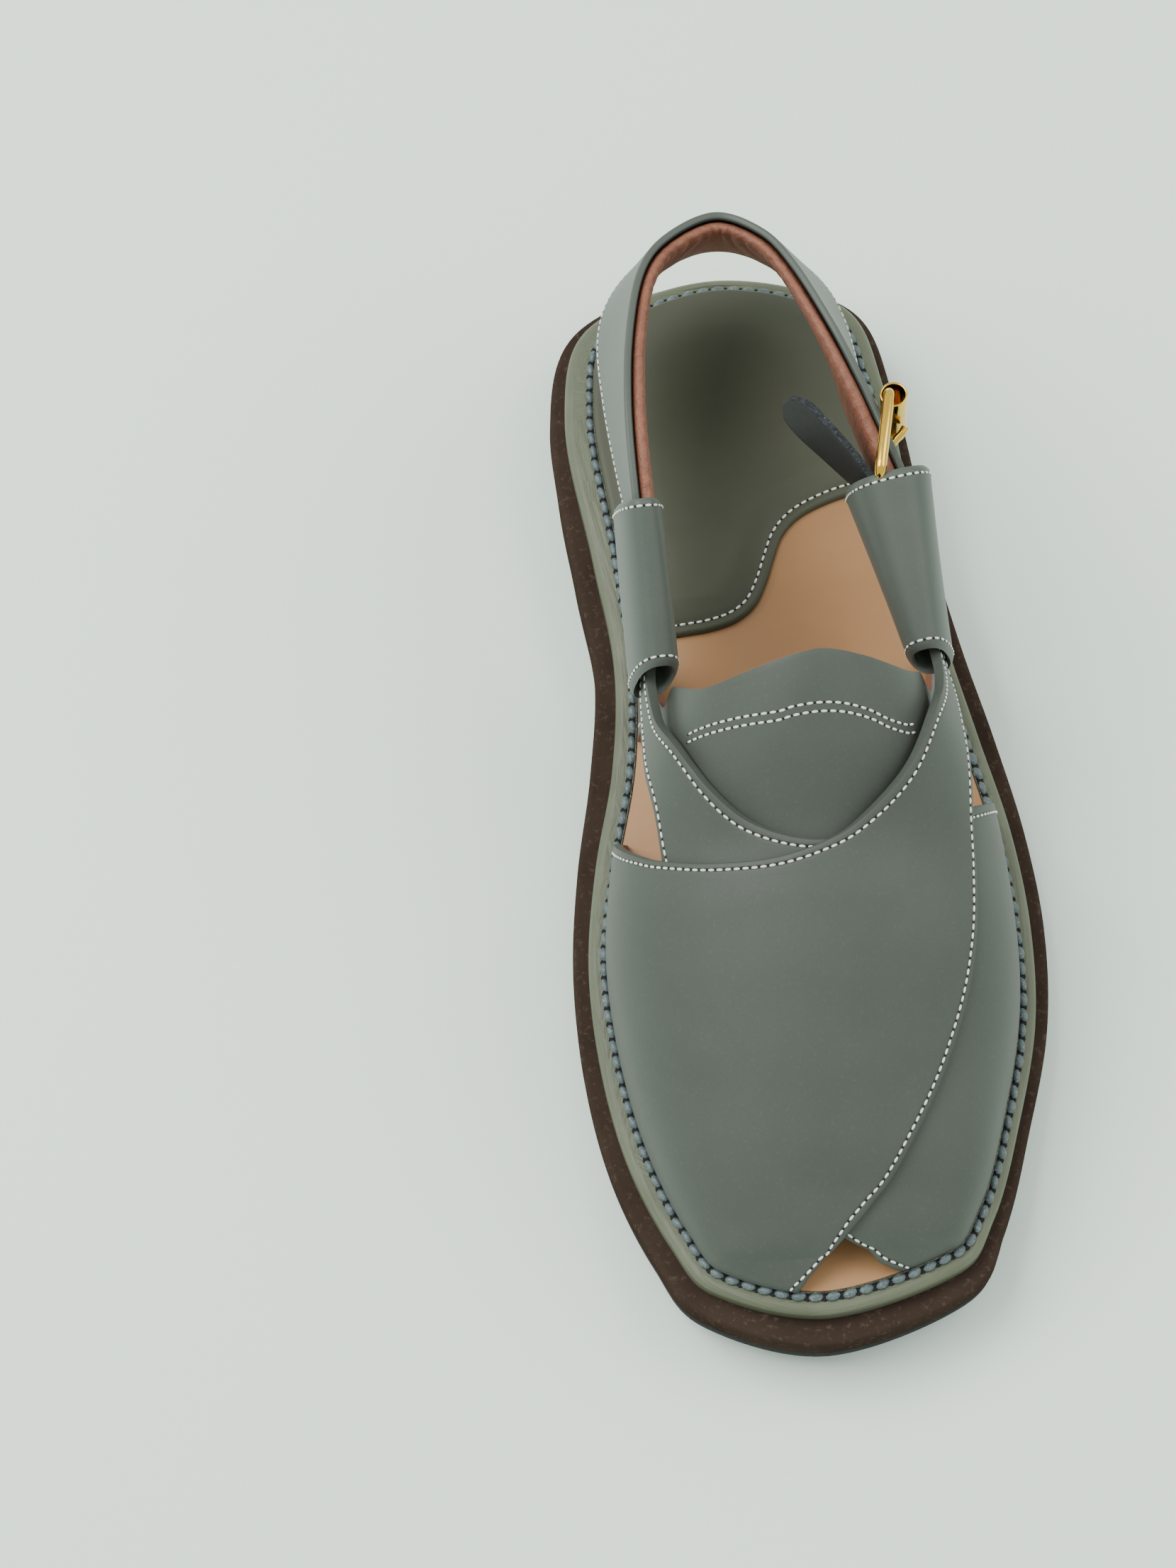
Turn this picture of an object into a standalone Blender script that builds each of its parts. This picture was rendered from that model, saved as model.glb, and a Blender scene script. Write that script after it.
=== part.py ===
"""Peshawari chappal, left shoe: rubber outsole, wedge midsole, leather rand, crossing straps,
instep panel, padded heel strap in rolled sleeves, and a roller buckle.

Frame: metres, +Z up, toe towards -Y, outer side of the foot towards +X, sole on z = 0.
"""
import bpy
import bmesh
import numpy as np
from mathutils import Vector

# Sole, in plan and in height
SOLE_LENGTH = 0.2915
SOLE_WIDTH = 0.1184
SEAM_MARGIN = 0.0085
OUTSOLE_THICKNESS = 0.0045
MIDSOLE_THICKNESS = 0.0082
RAND_THICKNESS = 0.0054
HEEL_RISE = 0.008
TOE_SPRING = 0.0105
WAIST_LIFT = 0.0012
EDGE_ROUND = 0.0016
RAND_ROUND = 0.0022
RAND_FOOT_STEP = 0.0004
REAR_UNDERCUT = 0.0020

# Footbed
INSOLE_THICKNESS = 0.0012
SOCK_THICKNESS = 0.0020
SOCK_EDGE = 0.0019
SOCK_CORNER = 0.0030

# Last, over the footbed and inside the seam
INSTEP_HEIGHT = 0.080
FOOT_INSET = 0.0034
INSOLE_REACH = 0.0032
SIDE_BULGE = 0.07

# Straps
STRAP_THICKNESS = 0.0025
TONGUE_THICKNESS = 0.0022
BACK_STRAP_THICKNESS = 0.0045
BACK_STRAP_WIDTH = 0.040
BACK_STRAP_TOP = 0.0980

# Rolled sleeves
SLEEVE_WALL = 0.0023

# Air left between pieces that touch, and under the straps
GAP = 0.0003
SEAT_AIR = 0.0007

# Plan of the sole, heel to toe: along as a share of the length, edges as shares of the width,
# seam margins as shares of SEAM_MARGIN, rand as the share of the margin that it covers
PLAN_COLUMNS = ("along", "medial", "lateral", "medial_margin", "lateral_margin", "rand")
SOLE_PLAN = [
    (0.000, -0.062, -0.062, 0.85, 0.85, 0.62),
    (0.040, -0.367, 0.245, 1.10, 0.90, 0.62),
    (0.140, -0.449, 0.324, 1.28, 0.85, 0.62),
    (0.280, -0.424, 0.359, 1.28, 0.92, 0.52),
    (0.380, -0.399, 0.400, 1.12, 0.92, 0.45),
    (0.470, -0.426, 0.448, 1.24, 1.00, 0.45),
    (0.560, -0.472, 0.487, 1.12, 0.97, 0.50),
    (0.650, -0.499, 0.500, 0.95, 0.92, 0.50),
    (0.740, -0.495, 0.476, 1.00, 0.78, 0.50),
    (0.830, -0.459, 0.408, 1.06, 0.68, 0.50),
    (0.910, -0.386, 0.335, 1.04, 0.74, 0.46),
    (0.965, -0.296, 0.243, 1.12, 1.05, 0.42),
    (1.000, -0.050, -0.050, 1.24, 1.24, 0.38),
]

# Ridge of the last by share of the way from heel to toe: height as a share of INSTEP_HEIGHT,
# and how far the outer side falls in, 0 being an ellipse
RIDGE_COLUMNS = ("station", "height", "outer_fall")
LAST_RIDGE = [
    (0.36, 1.080, 0.20),
    (0.44, 1.060, 0.20),
    (0.50, 1.000, 0.15),
    (0.55, 0.895, 0.08),
    (0.60, 0.725, 0.03),
    (0.65, 0.645, 0.00),
    (0.69, 0.575, 0.00),
    (0.73, 0.487, 0.00),
    (0.77, 0.395, 0.00),
    (0.81, 0.306, 0.00),
    (0.845, 0.205, 0.00),
    (0.88, 0.110, 0.00),
    (0.94, 0.035, 0.00),
    (1.00, 0.000, 0.00),
]

# The over strap, from the medial seam to the outer sleeve, and the under strap, from the outer
# seam to the medial sleeve. Each row gives both edges as station and share round the last, and
# the lift of the strap's inner face as a share of STRAP_THICKNESS
STRAP_COLUMNS = ("throat_station", "throat_around", "toe_station", "toe_around", "lift")
OVER_STRAP = [
    (0.539, 0.000, 0.966, 0.000, 0.20),
    (0.558, 0.072, 0.955, 0.300, 0.45),
    (0.580, 0.160, 0.922, 0.464, 0.60),
    (0.603, 0.260, 0.873, 0.524, 0.60),
    (0.616, 0.346, 0.836, 0.604, 0.60),
    (0.620, 0.440, 0.786, 0.677, 0.60),
    (0.609, 0.524, 0.731, 0.714, 0.60),
    (0.590, 0.584, 0.677, 0.735, 0.60),
    (0.561, 0.654, 0.625, 0.747, 0.60),
    (0.524, 0.716, 0.575, 0.764, 0.40),
    (0.494, 0.778, 0.518, 0.814, -0.20),
    (0.466, 0.820, 0.474, 0.868, -0.50),
    (0.440, 0.822, 0.444, 0.872, -0.50),
]
UNDER_STRAP = [
    (0.534, 1.000, 0.936, 1.000, 0.00),
    (0.548, 0.920, 0.934, 0.815, 0.00),
    (0.566, 0.830, 0.914, 0.675, 0.00),
    (0.583, 0.740, 0.872, 0.561, 0.00),
    (0.598, 0.650, 0.842, 0.456, 0.00),
    (0.608, 0.560, 0.786, 0.392, 0.00),
    (0.609, 0.484, 0.720, 0.340, 0.00),
    (0.594, 0.404, 0.655, 0.294, 0.00),
    (0.566, 0.333, 0.608, 0.264, 0.00),
    (0.531, 0.270, 0.567, 0.236, 0.00),
    (0.500, 0.206, 0.527, 0.188, -0.10),
    (0.468, 0.172, 0.476, 0.134, 0.10),
    (0.444, 0.176, 0.448, 0.130, 0.10),
]

# Instep panel, from the medial seam to the outer one: share round the last, its rear and front
# edge as stations, and its drop inside the last as a share of TONGUE_THICKNESS
TONGUE_COLUMNS = ("around", "rear", "front", "drop")
TONGUE = [
    (0.000, 0.400, 0.462, 0.00),
    (0.050, 0.415, 0.470, 0.40),
    (0.090, 0.448, 0.480, 1.50),
    (0.130, 0.474, 0.498, 2.35),
    (0.180, 0.474, 0.525, 2.35),
    (0.237, 0.487, 0.570, 1.80),
    (0.307, 0.501, 0.600, 1.36),
    (0.400, 0.502, 0.618, 1.32),
    (0.520, 0.497, 0.622, 1.32),
    (0.613, 0.497, 0.610, 1.32),
    (0.709, 0.495, 0.585, 1.50),
    (0.770, 0.484, 0.560, 2.20),
    (0.820, 0.472, 0.530, 3.00),
    (0.870, 0.472, 0.500, 3.00),
    (0.915, 0.450, 0.486, 2.20),
    (0.955, 0.425, 0.478, 0.90),
    (1.000, 0.410, 0.470, 0.00),
]

# Front edge of the heel cover, from the medial side: across as a share of SOLE_WIDTH, and
# along as a share of SOLE_LENGTH
SOCK_COLUMNS = ("across", "along")
SOCK_FRONT = [
    (-0.292, 0.362),
    (-0.240, 0.365),
    (-0.190, 0.364),
    (-0.140, 0.362),
    (-0.085, 0.356),
    (-0.040, 0.343),
    (-0.010, 0.322),
    (0.012, 0.300),
    (0.035, 0.280),
    (0.075, 0.264),
    (0.140, 0.252),
    (0.210, 0.245),
    (0.262, 0.246),
]

# Heel strap, from the medial sleeve round the heel to the outer sleeve: its top edge across, as
# a share of SOLE_WIDTH, along, as a share of SOLE_LENGTH, and up, as a share of BACK_STRAP_TOP,
# its width as a share of BACK_STRAP_WIDTH, and its lean outwards at the foot
BACK_COLUMNS = ("across", "along", "top", "width", "lean")
BACK_STRAP = [
    (-0.278, 0.374, 0.880, 0.44, 0.14),
    (-0.282, 0.340, 0.945, 0.56, 0.16),
    (-0.282, 0.268, 1.000, 0.82, 0.20),
    (-0.270, 0.196, 1.000, 0.92, 0.24),
    (-0.235, 0.133, 0.975, 0.98, 0.32),
    (-0.170, 0.096, 0.945, 1.00, 0.40),
    (-0.064, 0.074, 0.918, 1.02, 0.45),
    (0.030, 0.096, 0.930, 1.02, 0.43),
    (0.088, 0.134, 0.948, 0.98, 0.40),
    (0.150, 0.195, 0.960, 0.88, 0.34),
    (0.196, 0.240, 0.930, 0.56, 0.26),
    (0.229, 0.275, 0.895, 0.44, 0.20),
    (0.262, 0.318, 0.872, 0.42, 0.16),
    (0.288, 0.352, 0.845, 0.40, 0.14),
]

# Sleeves: station and share round the last of the front end, its lift as a share of
# STRAP_THICKNESS, half widths and half heights of both ends, where the rear end lies on the heel
# strap's run, how far inside the strap's middle it is centred, and how far the foot of the front
# mouth reaches towards the toe, as a share of its height
SLEEVE_COLUMNS = ("station", "around", "lift", "front_width", "front_height",
                  "rear_width", "rear_height", "rear_run", "rear_inset", "slant")
SLEEVES = {
    "sleeve_medial": (0.4645, 0.1580, -0.20, 0.0064, 0.0106, 0.0063, 0.0174, 0.050, 0.0000, 0.36),
    "sleeve_lateral": (0.4580, 0.8475, -0.90, 0.0060, 0.0105, 0.0110, 0.0165, 0.955, 0.0020, 0.26),
}
SLEEVE_SQUARENESS = 2.6
SLEEVE_REAR_DOWN = 0.60

# Roller buckle on the outer side: the frame runs from outside the strap to inside it
WIRE_RADIUS = 0.00135
WIRE_SIDES = 10
FRAME_WINDOW = 0.0214
FRAME_CORNER = 0.0022
ROLLER_RADIUS = 0.0034
ROLLER_WALL = 0.0006
ROLLER_RUN = 0.865
FRONT_BAR_RUN = 0.940
FRONT_BAR_AIR = 0.0012
ROLLER_AIR = 0.0009
PRONG_RADIUS = 0.0010
PRONG_RUN = 0.924
PRONG_HOLE = 0.0019

# Tail of the buckle's tab, inside the strap: way back from the sleeve's mouth and way inwards as
# shares of BILLET_LENGTH, half width as a share of BILLET_WIDTH, and lean of its upper edge
BILLET_LENGTH = 0.0240
BILLET_WIDTH = 0.0150
BILLET_THICKNESS = 0.0018
BILLET_RAISE = 0.0030
BILLET_COLUMNS = ("back", "inward", "width", "lean")
BILLET = [
    (-0.42, 0.14, 0.44, 0.00),
    (-0.20, 0.19, 0.46, 0.05),
    (0.00, 0.27, 0.48, 0.15),
    (0.35, 0.46, 0.50, 0.28),
    (0.65, 0.64, 0.50, 0.36),
    (0.84, 0.74, 0.46, 0.38),
    (0.94, 0.79, 0.30, 0.38),
    (1.00, 0.82, 0.12, 0.38),
]

# Fineness: points on each half of the sole, sections of the last, sides of the round pieces
STATIONS = 49
LAST_SECTIONS = 201
OUTLINE_POINTS = 1600
SPLINE_STEPS = 24
SLEEVE_SIDES = 24
ROLLER_SIDES = 16
HOLE_SIDES = 12
SLEEVE_RINGS = 5

# Shares: the instep panel's feet stay this far inside the seam, the straps' tables stand for
# this run in their splines, and the last's slope is read over this step
TONGUE_FOOT_SHARE = 0.002
STRAP_TABLE_RUN = 0.4
SLOPE_STEP = 0.004


def smooth(share):
    """Ease from 0 to 1."""
    share = min(max(share, 0.0), 1.0)
    return share * share * (3.0 - 2.0 * share)


def spline(points, count):
    """Evenly spaced points on a smooth curve through the points given."""
    knots = np.array(points, dtype=float)
    padded = np.vstack([2 * knots[0] - knots[1], knots, 2 * knots[-1] - knots[-2]])
    pieces = []
    for first in range(len(knots) - 1):
        p0, p1, p2, p3 = padded[first:first + 4]
        share = np.linspace(0.0, 1.0, SPLINE_STEPS, endpoint=False)[:, None]
        pieces.append(0.5 * (2 * p1 + (p2 - p0) * share
                             + (2 * p0 - 5 * p1 + 4 * p2 - p3) * share ** 2
                             + (3 * p1 - p0 - 3 * p2 + p3) * share ** 3))
    dense = np.vstack(pieces + [knots[-1:]])
    steps = np.linalg.norm(np.diff(dense[:, :2], axis=0), axis=1)
    run = np.concatenate([[0.0], np.cumsum(steps)])
    wanted = np.linspace(0.0, run[-1], count)
    return np.column_stack([np.interp(wanted, run, dense[:, k]) for k in range(dense.shape[1])])


def named(columns, rows):
    """Columns of a table by their names."""
    return {name: rows[:, k] for k, name in enumerate(columns)}


def plan_half(side):
    """Edge of the sole on one side, from heel to toe: x, y, seam margin and rand share."""
    rows = []
    end = SOLE_LENGTH * 0.5
    for row in SOLE_PLAN:
        value = dict(zip(PLAN_COLUMNS, row))
        rows.append((value[side] * SOLE_WIDTH, end - value["along"] * SOLE_LENGTH,
                     value[side + "_margin"] * SEAM_MARGIN, value["rand"]))
    return rows


def whole_plan(count):
    """Closed edge of the sole as two halves of equal count, with normals from the whole ring."""
    medial = plan_half("medial")
    lateral = plan_half("lateral")
    ring = medial + lateral[-2:0:-1]
    wrapped = [ring[-1]] + ring + [ring[0], ring[1]]
    dense = spline(wrapped, OUTLINE_POINTS)
    heel_point = np.array(ring[0][:2])
    toe_point = np.array(medial[-1][:2])
    middle = OUTLINE_POINTS // 2
    heel = int(np.argmin(np.linalg.norm(dense[:middle, :2] - heel_point, axis=1)))
    toe = int(np.argmin(np.linalg.norm(dense[:, :2] - toe_point, axis=1)))
    back = middle + int(np.argmin(np.linalg.norm(dense[middle:, :2] - heel_point, axis=1)))
    halves = []
    for first, last in ((heel, toe), (back, toe)):
        step = 1 if last > first else -1
        part = dense[np.arange(first, last + step, step)]
        lengths = np.linalg.norm(np.diff(part[:, :2], axis=0), axis=1)
        run = np.concatenate([[0.0], np.cumsum(lengths)])
        wanted = np.linspace(0.0, run[-1], count)
        half = np.column_stack([np.interp(wanted, run, part[:, k]) for k in range(4)])
        tangent = np.gradient(half[:, :2], axis=0)
        tangent[0] = (-step, 0.0)
        tangent[-1] = (step, 0.0)
        tangent /= np.linalg.norm(tangent, axis=1)[:, None]
        inward = np.column_stack([-tangent[:, 1], tangent[:, 0]]) * step
        halves.append((half, inward))
    return halves


def offset_plan(count, line, extra=0.0, undercut=0.0):
    """Both halves of the edge, rand or seam line, moved in by extra, and by undercut at the heel."""
    sides = []
    for half, inward in whole_plan(count):
        share = {"edge": 0.0, "seam": 1.0, "rand": 1.0 - half[:, 3]}[line]
        heel = np.array([smooth((0.25 - along_of(y)) / 0.2) for y in half[:, 1]])
        depth = half[:, 2] * share + extra + undercut * heel
        sides.append(half[:, :2] + inward * depth[:, None])
    sides[1][0] = sides[0][0]
    sides[1][-1] = sides[0][-1]
    return sides


def along_of(y):
    """Share of the sole's length at y, 0 at the heel."""
    return 0.5 - y / SOLE_LENGTH


def toe_lift(y):
    """Rise of the underside towards the toe."""
    share = max(along_of(y) - 0.69, 0.0) / 0.31
    return TOE_SPRING * share * share


def floor_z(y):
    """Underside of the outsole: flat under ball and heel, lifted a little at the waist."""
    along = along_of(y)
    waist = smooth((along - 0.27) / 0.09) * smooth((0.56 - along) / 0.09)
    return toe_lift(y) + WAIST_LIFT * waist


def outsole_top(y):
    """Seat of the midsole."""
    return floor_z(y) + OUTSOLE_THICKNESS


def wedge(y):
    """Rise of the footbed from ball to heel."""
    return HEEL_RISE * smooth((0.60 - along_of(y)) / 0.42)


def midsole_top(y):
    """Seat of the rand."""
    return OUTSOLE_THICKNESS + MIDSOLE_THICKNESS + toe_lift(y) + wedge(y)


def rand_top(y):
    """Seat of the insole."""
    return midsole_top(y) + GAP + RAND_THICKNESS


def insole_top(y):
    """Seat of the straps, the instep panel and the heel cover."""
    return rand_top(y) + GAP + INSOLE_THICKNESS


def material(name, colour, roughness, metallic=0.0):
    """Plain Principled material."""
    made = bpy.data.materials.new(name)
    made.use_nodes = True
    shader = made.node_tree.nodes["Principled BSDF"]
    shader.inputs["Base Color"].default_value = (*colour, 1.0)
    shader.inputs["Roughness"].default_value = roughness
    shader.inputs["Metallic"].default_value = metallic
    return made


def new_object(name, mesh, finish, collection):
    """Object with its material, in its collection."""
    made = bpy.data.objects.new(name, mesh)
    collection.objects.link(made)
    made.data.materials.append(finish)
    return made


def finish_mesh(bm, name):
    """Mesh from a bmesh whose faces point outwards, shaded smooth but for its edges."""
    bmesh.ops.remove_doubles(bm, verts=bm.verts, dist=0.00001)
    bmesh.ops.recalc_face_normals(bm, faces=bm.faces)
    if bm.calc_volume(signed=True) < 0.0:
        bmesh.ops.reverse_faces(bm, faces=bm.faces)
    mesh = bpy.data.meshes.new(name)
    bm.to_mesh(mesh)
    bm.free()
    mesh.shade_smooth()
    mesh.set_sharp_from_angle(angle=np.radians(50.0))
    return mesh


def ring_points(sides, height):
    """Ring round both halves of an outline, lifted by a height function."""
    medial, lateral = sides
    flat = list(medial) + list(lateral[-2:0:-1])
    return [(x, y, height(y)) for x, y in flat]


def slab(name, rings, finish, collection):
    """Closed layer lofted through rings, with caps laid in strips from side to side."""
    bm = bmesh.new()
    loops = [[bm.verts.new(point) for point in ring] for ring in rings]
    count = len(loops[0])
    half = count // 2
    for low, high in zip(loops, loops[1:]):
        for k in range(count):
            after = (k + 1) % count
            bm.faces.new((low[k], low[after], high[after], high[k]))
    for loop in (loops[0], loops[-1]):
        bm.faces.new((loop[0], loop[1], loop[-1]))
        for k in range(1, half - 1):
            bm.faces.new((loop[k], loop[k + 1], loop[count - k - 1], loop[count - k]))
        bm.faces.new((loop[half - 1], loop[half], loop[half + 1]))
    return new_object(name, finish_mesh(bm, name), finish, collection)


def sheet(name, place, rows, columns, thickness, finish, collection):
    """Strip of leather: a grid bent by place(u, v), given its thickness on its outer side."""
    bm = bmesh.new()
    bmesh.ops.create_grid(bm, x_segments=rows, y_segments=columns, size=0.5)
    for vert in bm.verts:
        vert.co = Vector(place(vert.co.x + 0.5, vert.co.y + 0.5))
    mesh = bpy.data.meshes.new(name)
    bm.to_mesh(mesh)
    bm.free()
    mesh.shade_smooth()
    made = new_object(name, mesh, finish, collection)
    wall = made.modifiers.new("wall", "SOLIDIFY")
    wall.thickness = thickness
    wall.offset = 1.0
    wall.use_even_offset = True
    return made


def cut(target, cutter, operation, name):
    """Boolean on the target by a hidden cutter."""
    cutter.hide_render = True
    cutter.display_type = "WIRE"
    step = target.modifiers.new(name, "BOOLEAN")
    step.operation = operation
    step.solver = "EXACT"
    step.object = cutter


class Last:
    """Shape of the foot above the seam, in sections from heel to toe."""

    def __init__(self):
        self.medial, self.lateral = offset_plan(LAST_SECTIONS, "seam", FOOT_INSET)
        self.stations = np.linspace(0.0, 1.0, LAST_SECTIONS)
        ridge = named(RIDGE_COLUMNS, spline(LAST_RIDGE, 2 * LAST_SECTIONS))
        self.ridge = (ridge["station"], ridge["height"] * INSTEP_HEIGHT)
        self.fall = (ridge["station"], ridge["outer_fall"])

    def foot(self, points, station):
        """Point of a seam half at a station."""
        return np.array([np.interp(station, self.stations, points[:, k]) for k in (0, 1)])

    def raw(self, station, around):
        """Point on the last: around is 0 at the medial seam and 1 at the lateral one."""
        medial = self.foot(self.medial, station)
        lateral = self.foot(self.lateral, station)
        turn = np.pi * around
        side = np.cos(turn)
        if side < 0.0:
            fall = np.interp(station, *self.fall)
            side = side * (1.0 - fall + fall * side * side)
        side = side * (1.0 + SIDE_BULGE * np.sin(2.0 * turn) ** 2)
        share = 0.5 - 0.5 * side
        plan = medial + (lateral - medial) * share
        height = np.interp(station, *self.ridge)
        base = insole_top(plan[1]) + SEAT_AIR
        return np.array([plan[0], plan[1], base + height * np.sin(turn)])

    def point(self, station, around, lift):
        """Point at a lift over the last, along its outward normal."""
        step = SLOPE_STEP
        low = max(station - step, 0.0)
        high = min(station + step, 0.999)
        forward = self.raw(high, around) - self.raw(low, around)
        across = self.raw(station, around + step) - self.raw(station, around - step)
        normal = np.cross(forward, across)
        size = np.linalg.norm(normal)
        if size > 0.0:
            normal = normal / size
        return self.raw(station, around) + normal * lift


def strap_place(last, table, from_throat):
    """Place on a strap: u along it from its first row, v from its throat edge to its toe edge."""
    runs = np.linspace(0.0, STRAP_TABLE_RUN, len(table))
    rows = [(run, 0.0, *row) for run, row in zip(runs, table)]
    fine = named(("run", "flat") + STRAP_COLUMNS, spline(rows, 121))

    def place(u, v):
        at = {name: np.interp(u * STRAP_TABLE_RUN, fine["run"], fine[name])
              for name in STRAP_COLUMNS}
        edge = v if from_throat else 1.0 - v
        station = at["throat_station"] + (at["toe_station"] - at["throat_station"]) * edge
        around = at["throat_around"] + (at["toe_around"] - at["throat_around"]) * edge
        around = min(max(around, 0.0), 1.0)
        return last.point(station, around, at["lift"] * STRAP_THICKNESS)

    return place


def tongue_place(last):
    """Place on the instep panel: u round the last, v from the front edge to the top edge."""
    rows = [(around, 0.0, *rest) for around, *rest in TONGUE]
    fine = named(("around", "flat") + TONGUE_COLUMNS[1:], spline(rows, 161))

    def place(u, v):
        at = {name: np.interp(u, fine["around"], fine[name]) for name in TONGUE_COLUMNS[1:]}
        station = at["front"] + (at["rear"] - at["front"]) * v
        around = TONGUE_FOOT_SHARE + (1.0 - 2.0 * TONGUE_FOOT_SHARE) * u
        return last.point(station, around, -at["drop"] * TONGUE_THICKNESS)

    return place


class HeelStrap:
    """Band round the heel: its top edge, its lean and its width by share of its run."""

    def __init__(self):
        end = SOLE_LENGTH * 0.5
        rows = []
        for row in BACK_STRAP:
            value = dict(zip(BACK_COLUMNS, row))
            rows.append((value["across"] * SOLE_WIDTH, end - value["along"] * SOLE_LENGTH,
                         value["top"] * BACK_STRAP_TOP, value["width"] * BACK_STRAP_WIDTH,
                         value["lean"]))
        self.fine = spline(rows, 241)
        self.shares = np.linspace(0.0, 1.0, 241)

    def row(self, u):
        """Top point, width, lean and outward direction at a share of the run."""
        values = np.array([np.interp(u, self.shares, self.fine[:, k]) for k in range(5)])
        ahead = np.array([np.interp(min(u + 0.01, 1.0), self.shares, self.fine[:, k])
                          for k in (0, 1)])
        behind = np.array([np.interp(max(u - 0.01, 0.0), self.shares, self.fine[:, k])
                           for k in (0, 1)])
        run = ahead - behind
        run = run / np.linalg.norm(run)
        outward = np.array([-run[1], run[0], 0.0])
        return values[:3], values[3], values[4], outward

    def point(self, u, v, depth=0.0):
        """Point on the band: v is 0 at the top edge and 1 at the bottom one, depth is inwards."""
        top, width, lean, outward = self.row(u)
        down = np.array([outward[0] * lean, outward[1] * lean, -1.0])
        down = down / np.linalg.norm(down)
        inward = -outward - down * np.dot(-outward, down)
        inward = inward / np.linalg.norm(inward)
        return top + down * width * v + inward * depth


def sock_plan(count):
    """Both halves of the heel cover: round the heel inside the straps, then along its front."""
    end = SOLE_LENGTH * 0.5
    table = named(SOCK_COLUMNS, np.array(SOCK_FRONT))
    front = spline(np.column_stack([table["across"] * SOLE_WIDTH,
                                    end - table["along"] * SOLE_LENGTH]), 41)
    heel = offset_plan(LAST_SECTIONS, "seam", SOCK_EDGE)
    halves = []
    for side, corner, edge in ((heel[0], front[0], front[:21]), (heel[1], front[-1], front[:19:-1])):
        inside = side[side[:, 1] > corner[1] + SOCK_CORNER]
        joined = np.vstack([inside, edge])
        steps = np.linalg.norm(np.diff(joined, axis=0), axis=1)
        run = np.concatenate([[0.0], np.cumsum(steps)])
        wanted = np.linspace(0.0, run[-1], count)
        halves.append(np.column_stack([np.interp(wanted, run, joined[:, k]) for k in (0, 1)]))
    halves[1][0] = halves[0][0]
    halves[1][-1] = halves[0][-1]
    return halves


def rounded(radius, steps):
    """Inset and drop of each ring of a rounded top edge, from its side to its top."""
    turns = [np.pi * 0.5 * k / steps for k in range(steps + 1)]
    return [(radius * (1.0 - np.cos(turn)), radius * (1.0 - np.sin(turn))) for turn in turns]


def sole_layers(parts):
    """Outsole, midsole, rand, insole and heel cover, one on the other."""
    def ring(line, extra, height, undercut=0.0):
        return ring_points(offset_plan(STATIONS, line, extra, undercut), height)

    rubber = material("outsole_rubber", (0.018, 0.021, 0.025), 0.55)
    slab("outsole", [ring("edge", GAP, floor_z, REAR_UNDERCUT),
                     ring("edge", GAP, outsole_top, REAR_UNDERCUT)], rubber, parts)

    foam = material("midsole_brown", (0.112, 0.068, 0.062), 0.6)
    rings = [ring("edge", 0.0, lambda y: outsole_top(y) + GAP, REAR_UNDERCUT)]
    for inset, drop in rounded(EDGE_ROUND, 3):
        rings.append(ring("edge", inset, lambda y, d=drop: midsole_top(y) - d))
    slab("midsole", rings, foam, parts)

    welt = material("rand_leather", (0.262, 0.275, 0.194), 0.5)
    rings = [ring("rand", RAND_FOOT_STEP, lambda y: midsole_top(y) + GAP)]
    for inset, drop in rounded(RAND_ROUND, 3):
        rings.append(ring("rand", inset, lambda y, d=drop: rand_top(y) - d))
    slab("rand", rings, welt, parts)

    tan = material("insole_tan", (0.58, 0.36, 0.19), 0.5)
    reach = FOOT_INSET - INSOLE_REACH
    slab("insole", [ring("seam", reach, lambda y: rand_top(y) + GAP),
                    ring("seam", reach, insole_top)], tan, parts)


def heel_cover(parts):
    """Padded cover on the rear of the insole."""
    green = material("sock_leather", (0.142, 0.152, 0.112), 0.4)
    sides = sock_plan(STATIONS // 2 + 1)
    low = ring_points(sides, lambda y: insole_top(y) + GAP)
    high = ring_points(sides, lambda y: insole_top(y) + GAP + SOCK_THICKNESS)
    slab("heel_sock", [low, high], green, parts)


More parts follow.
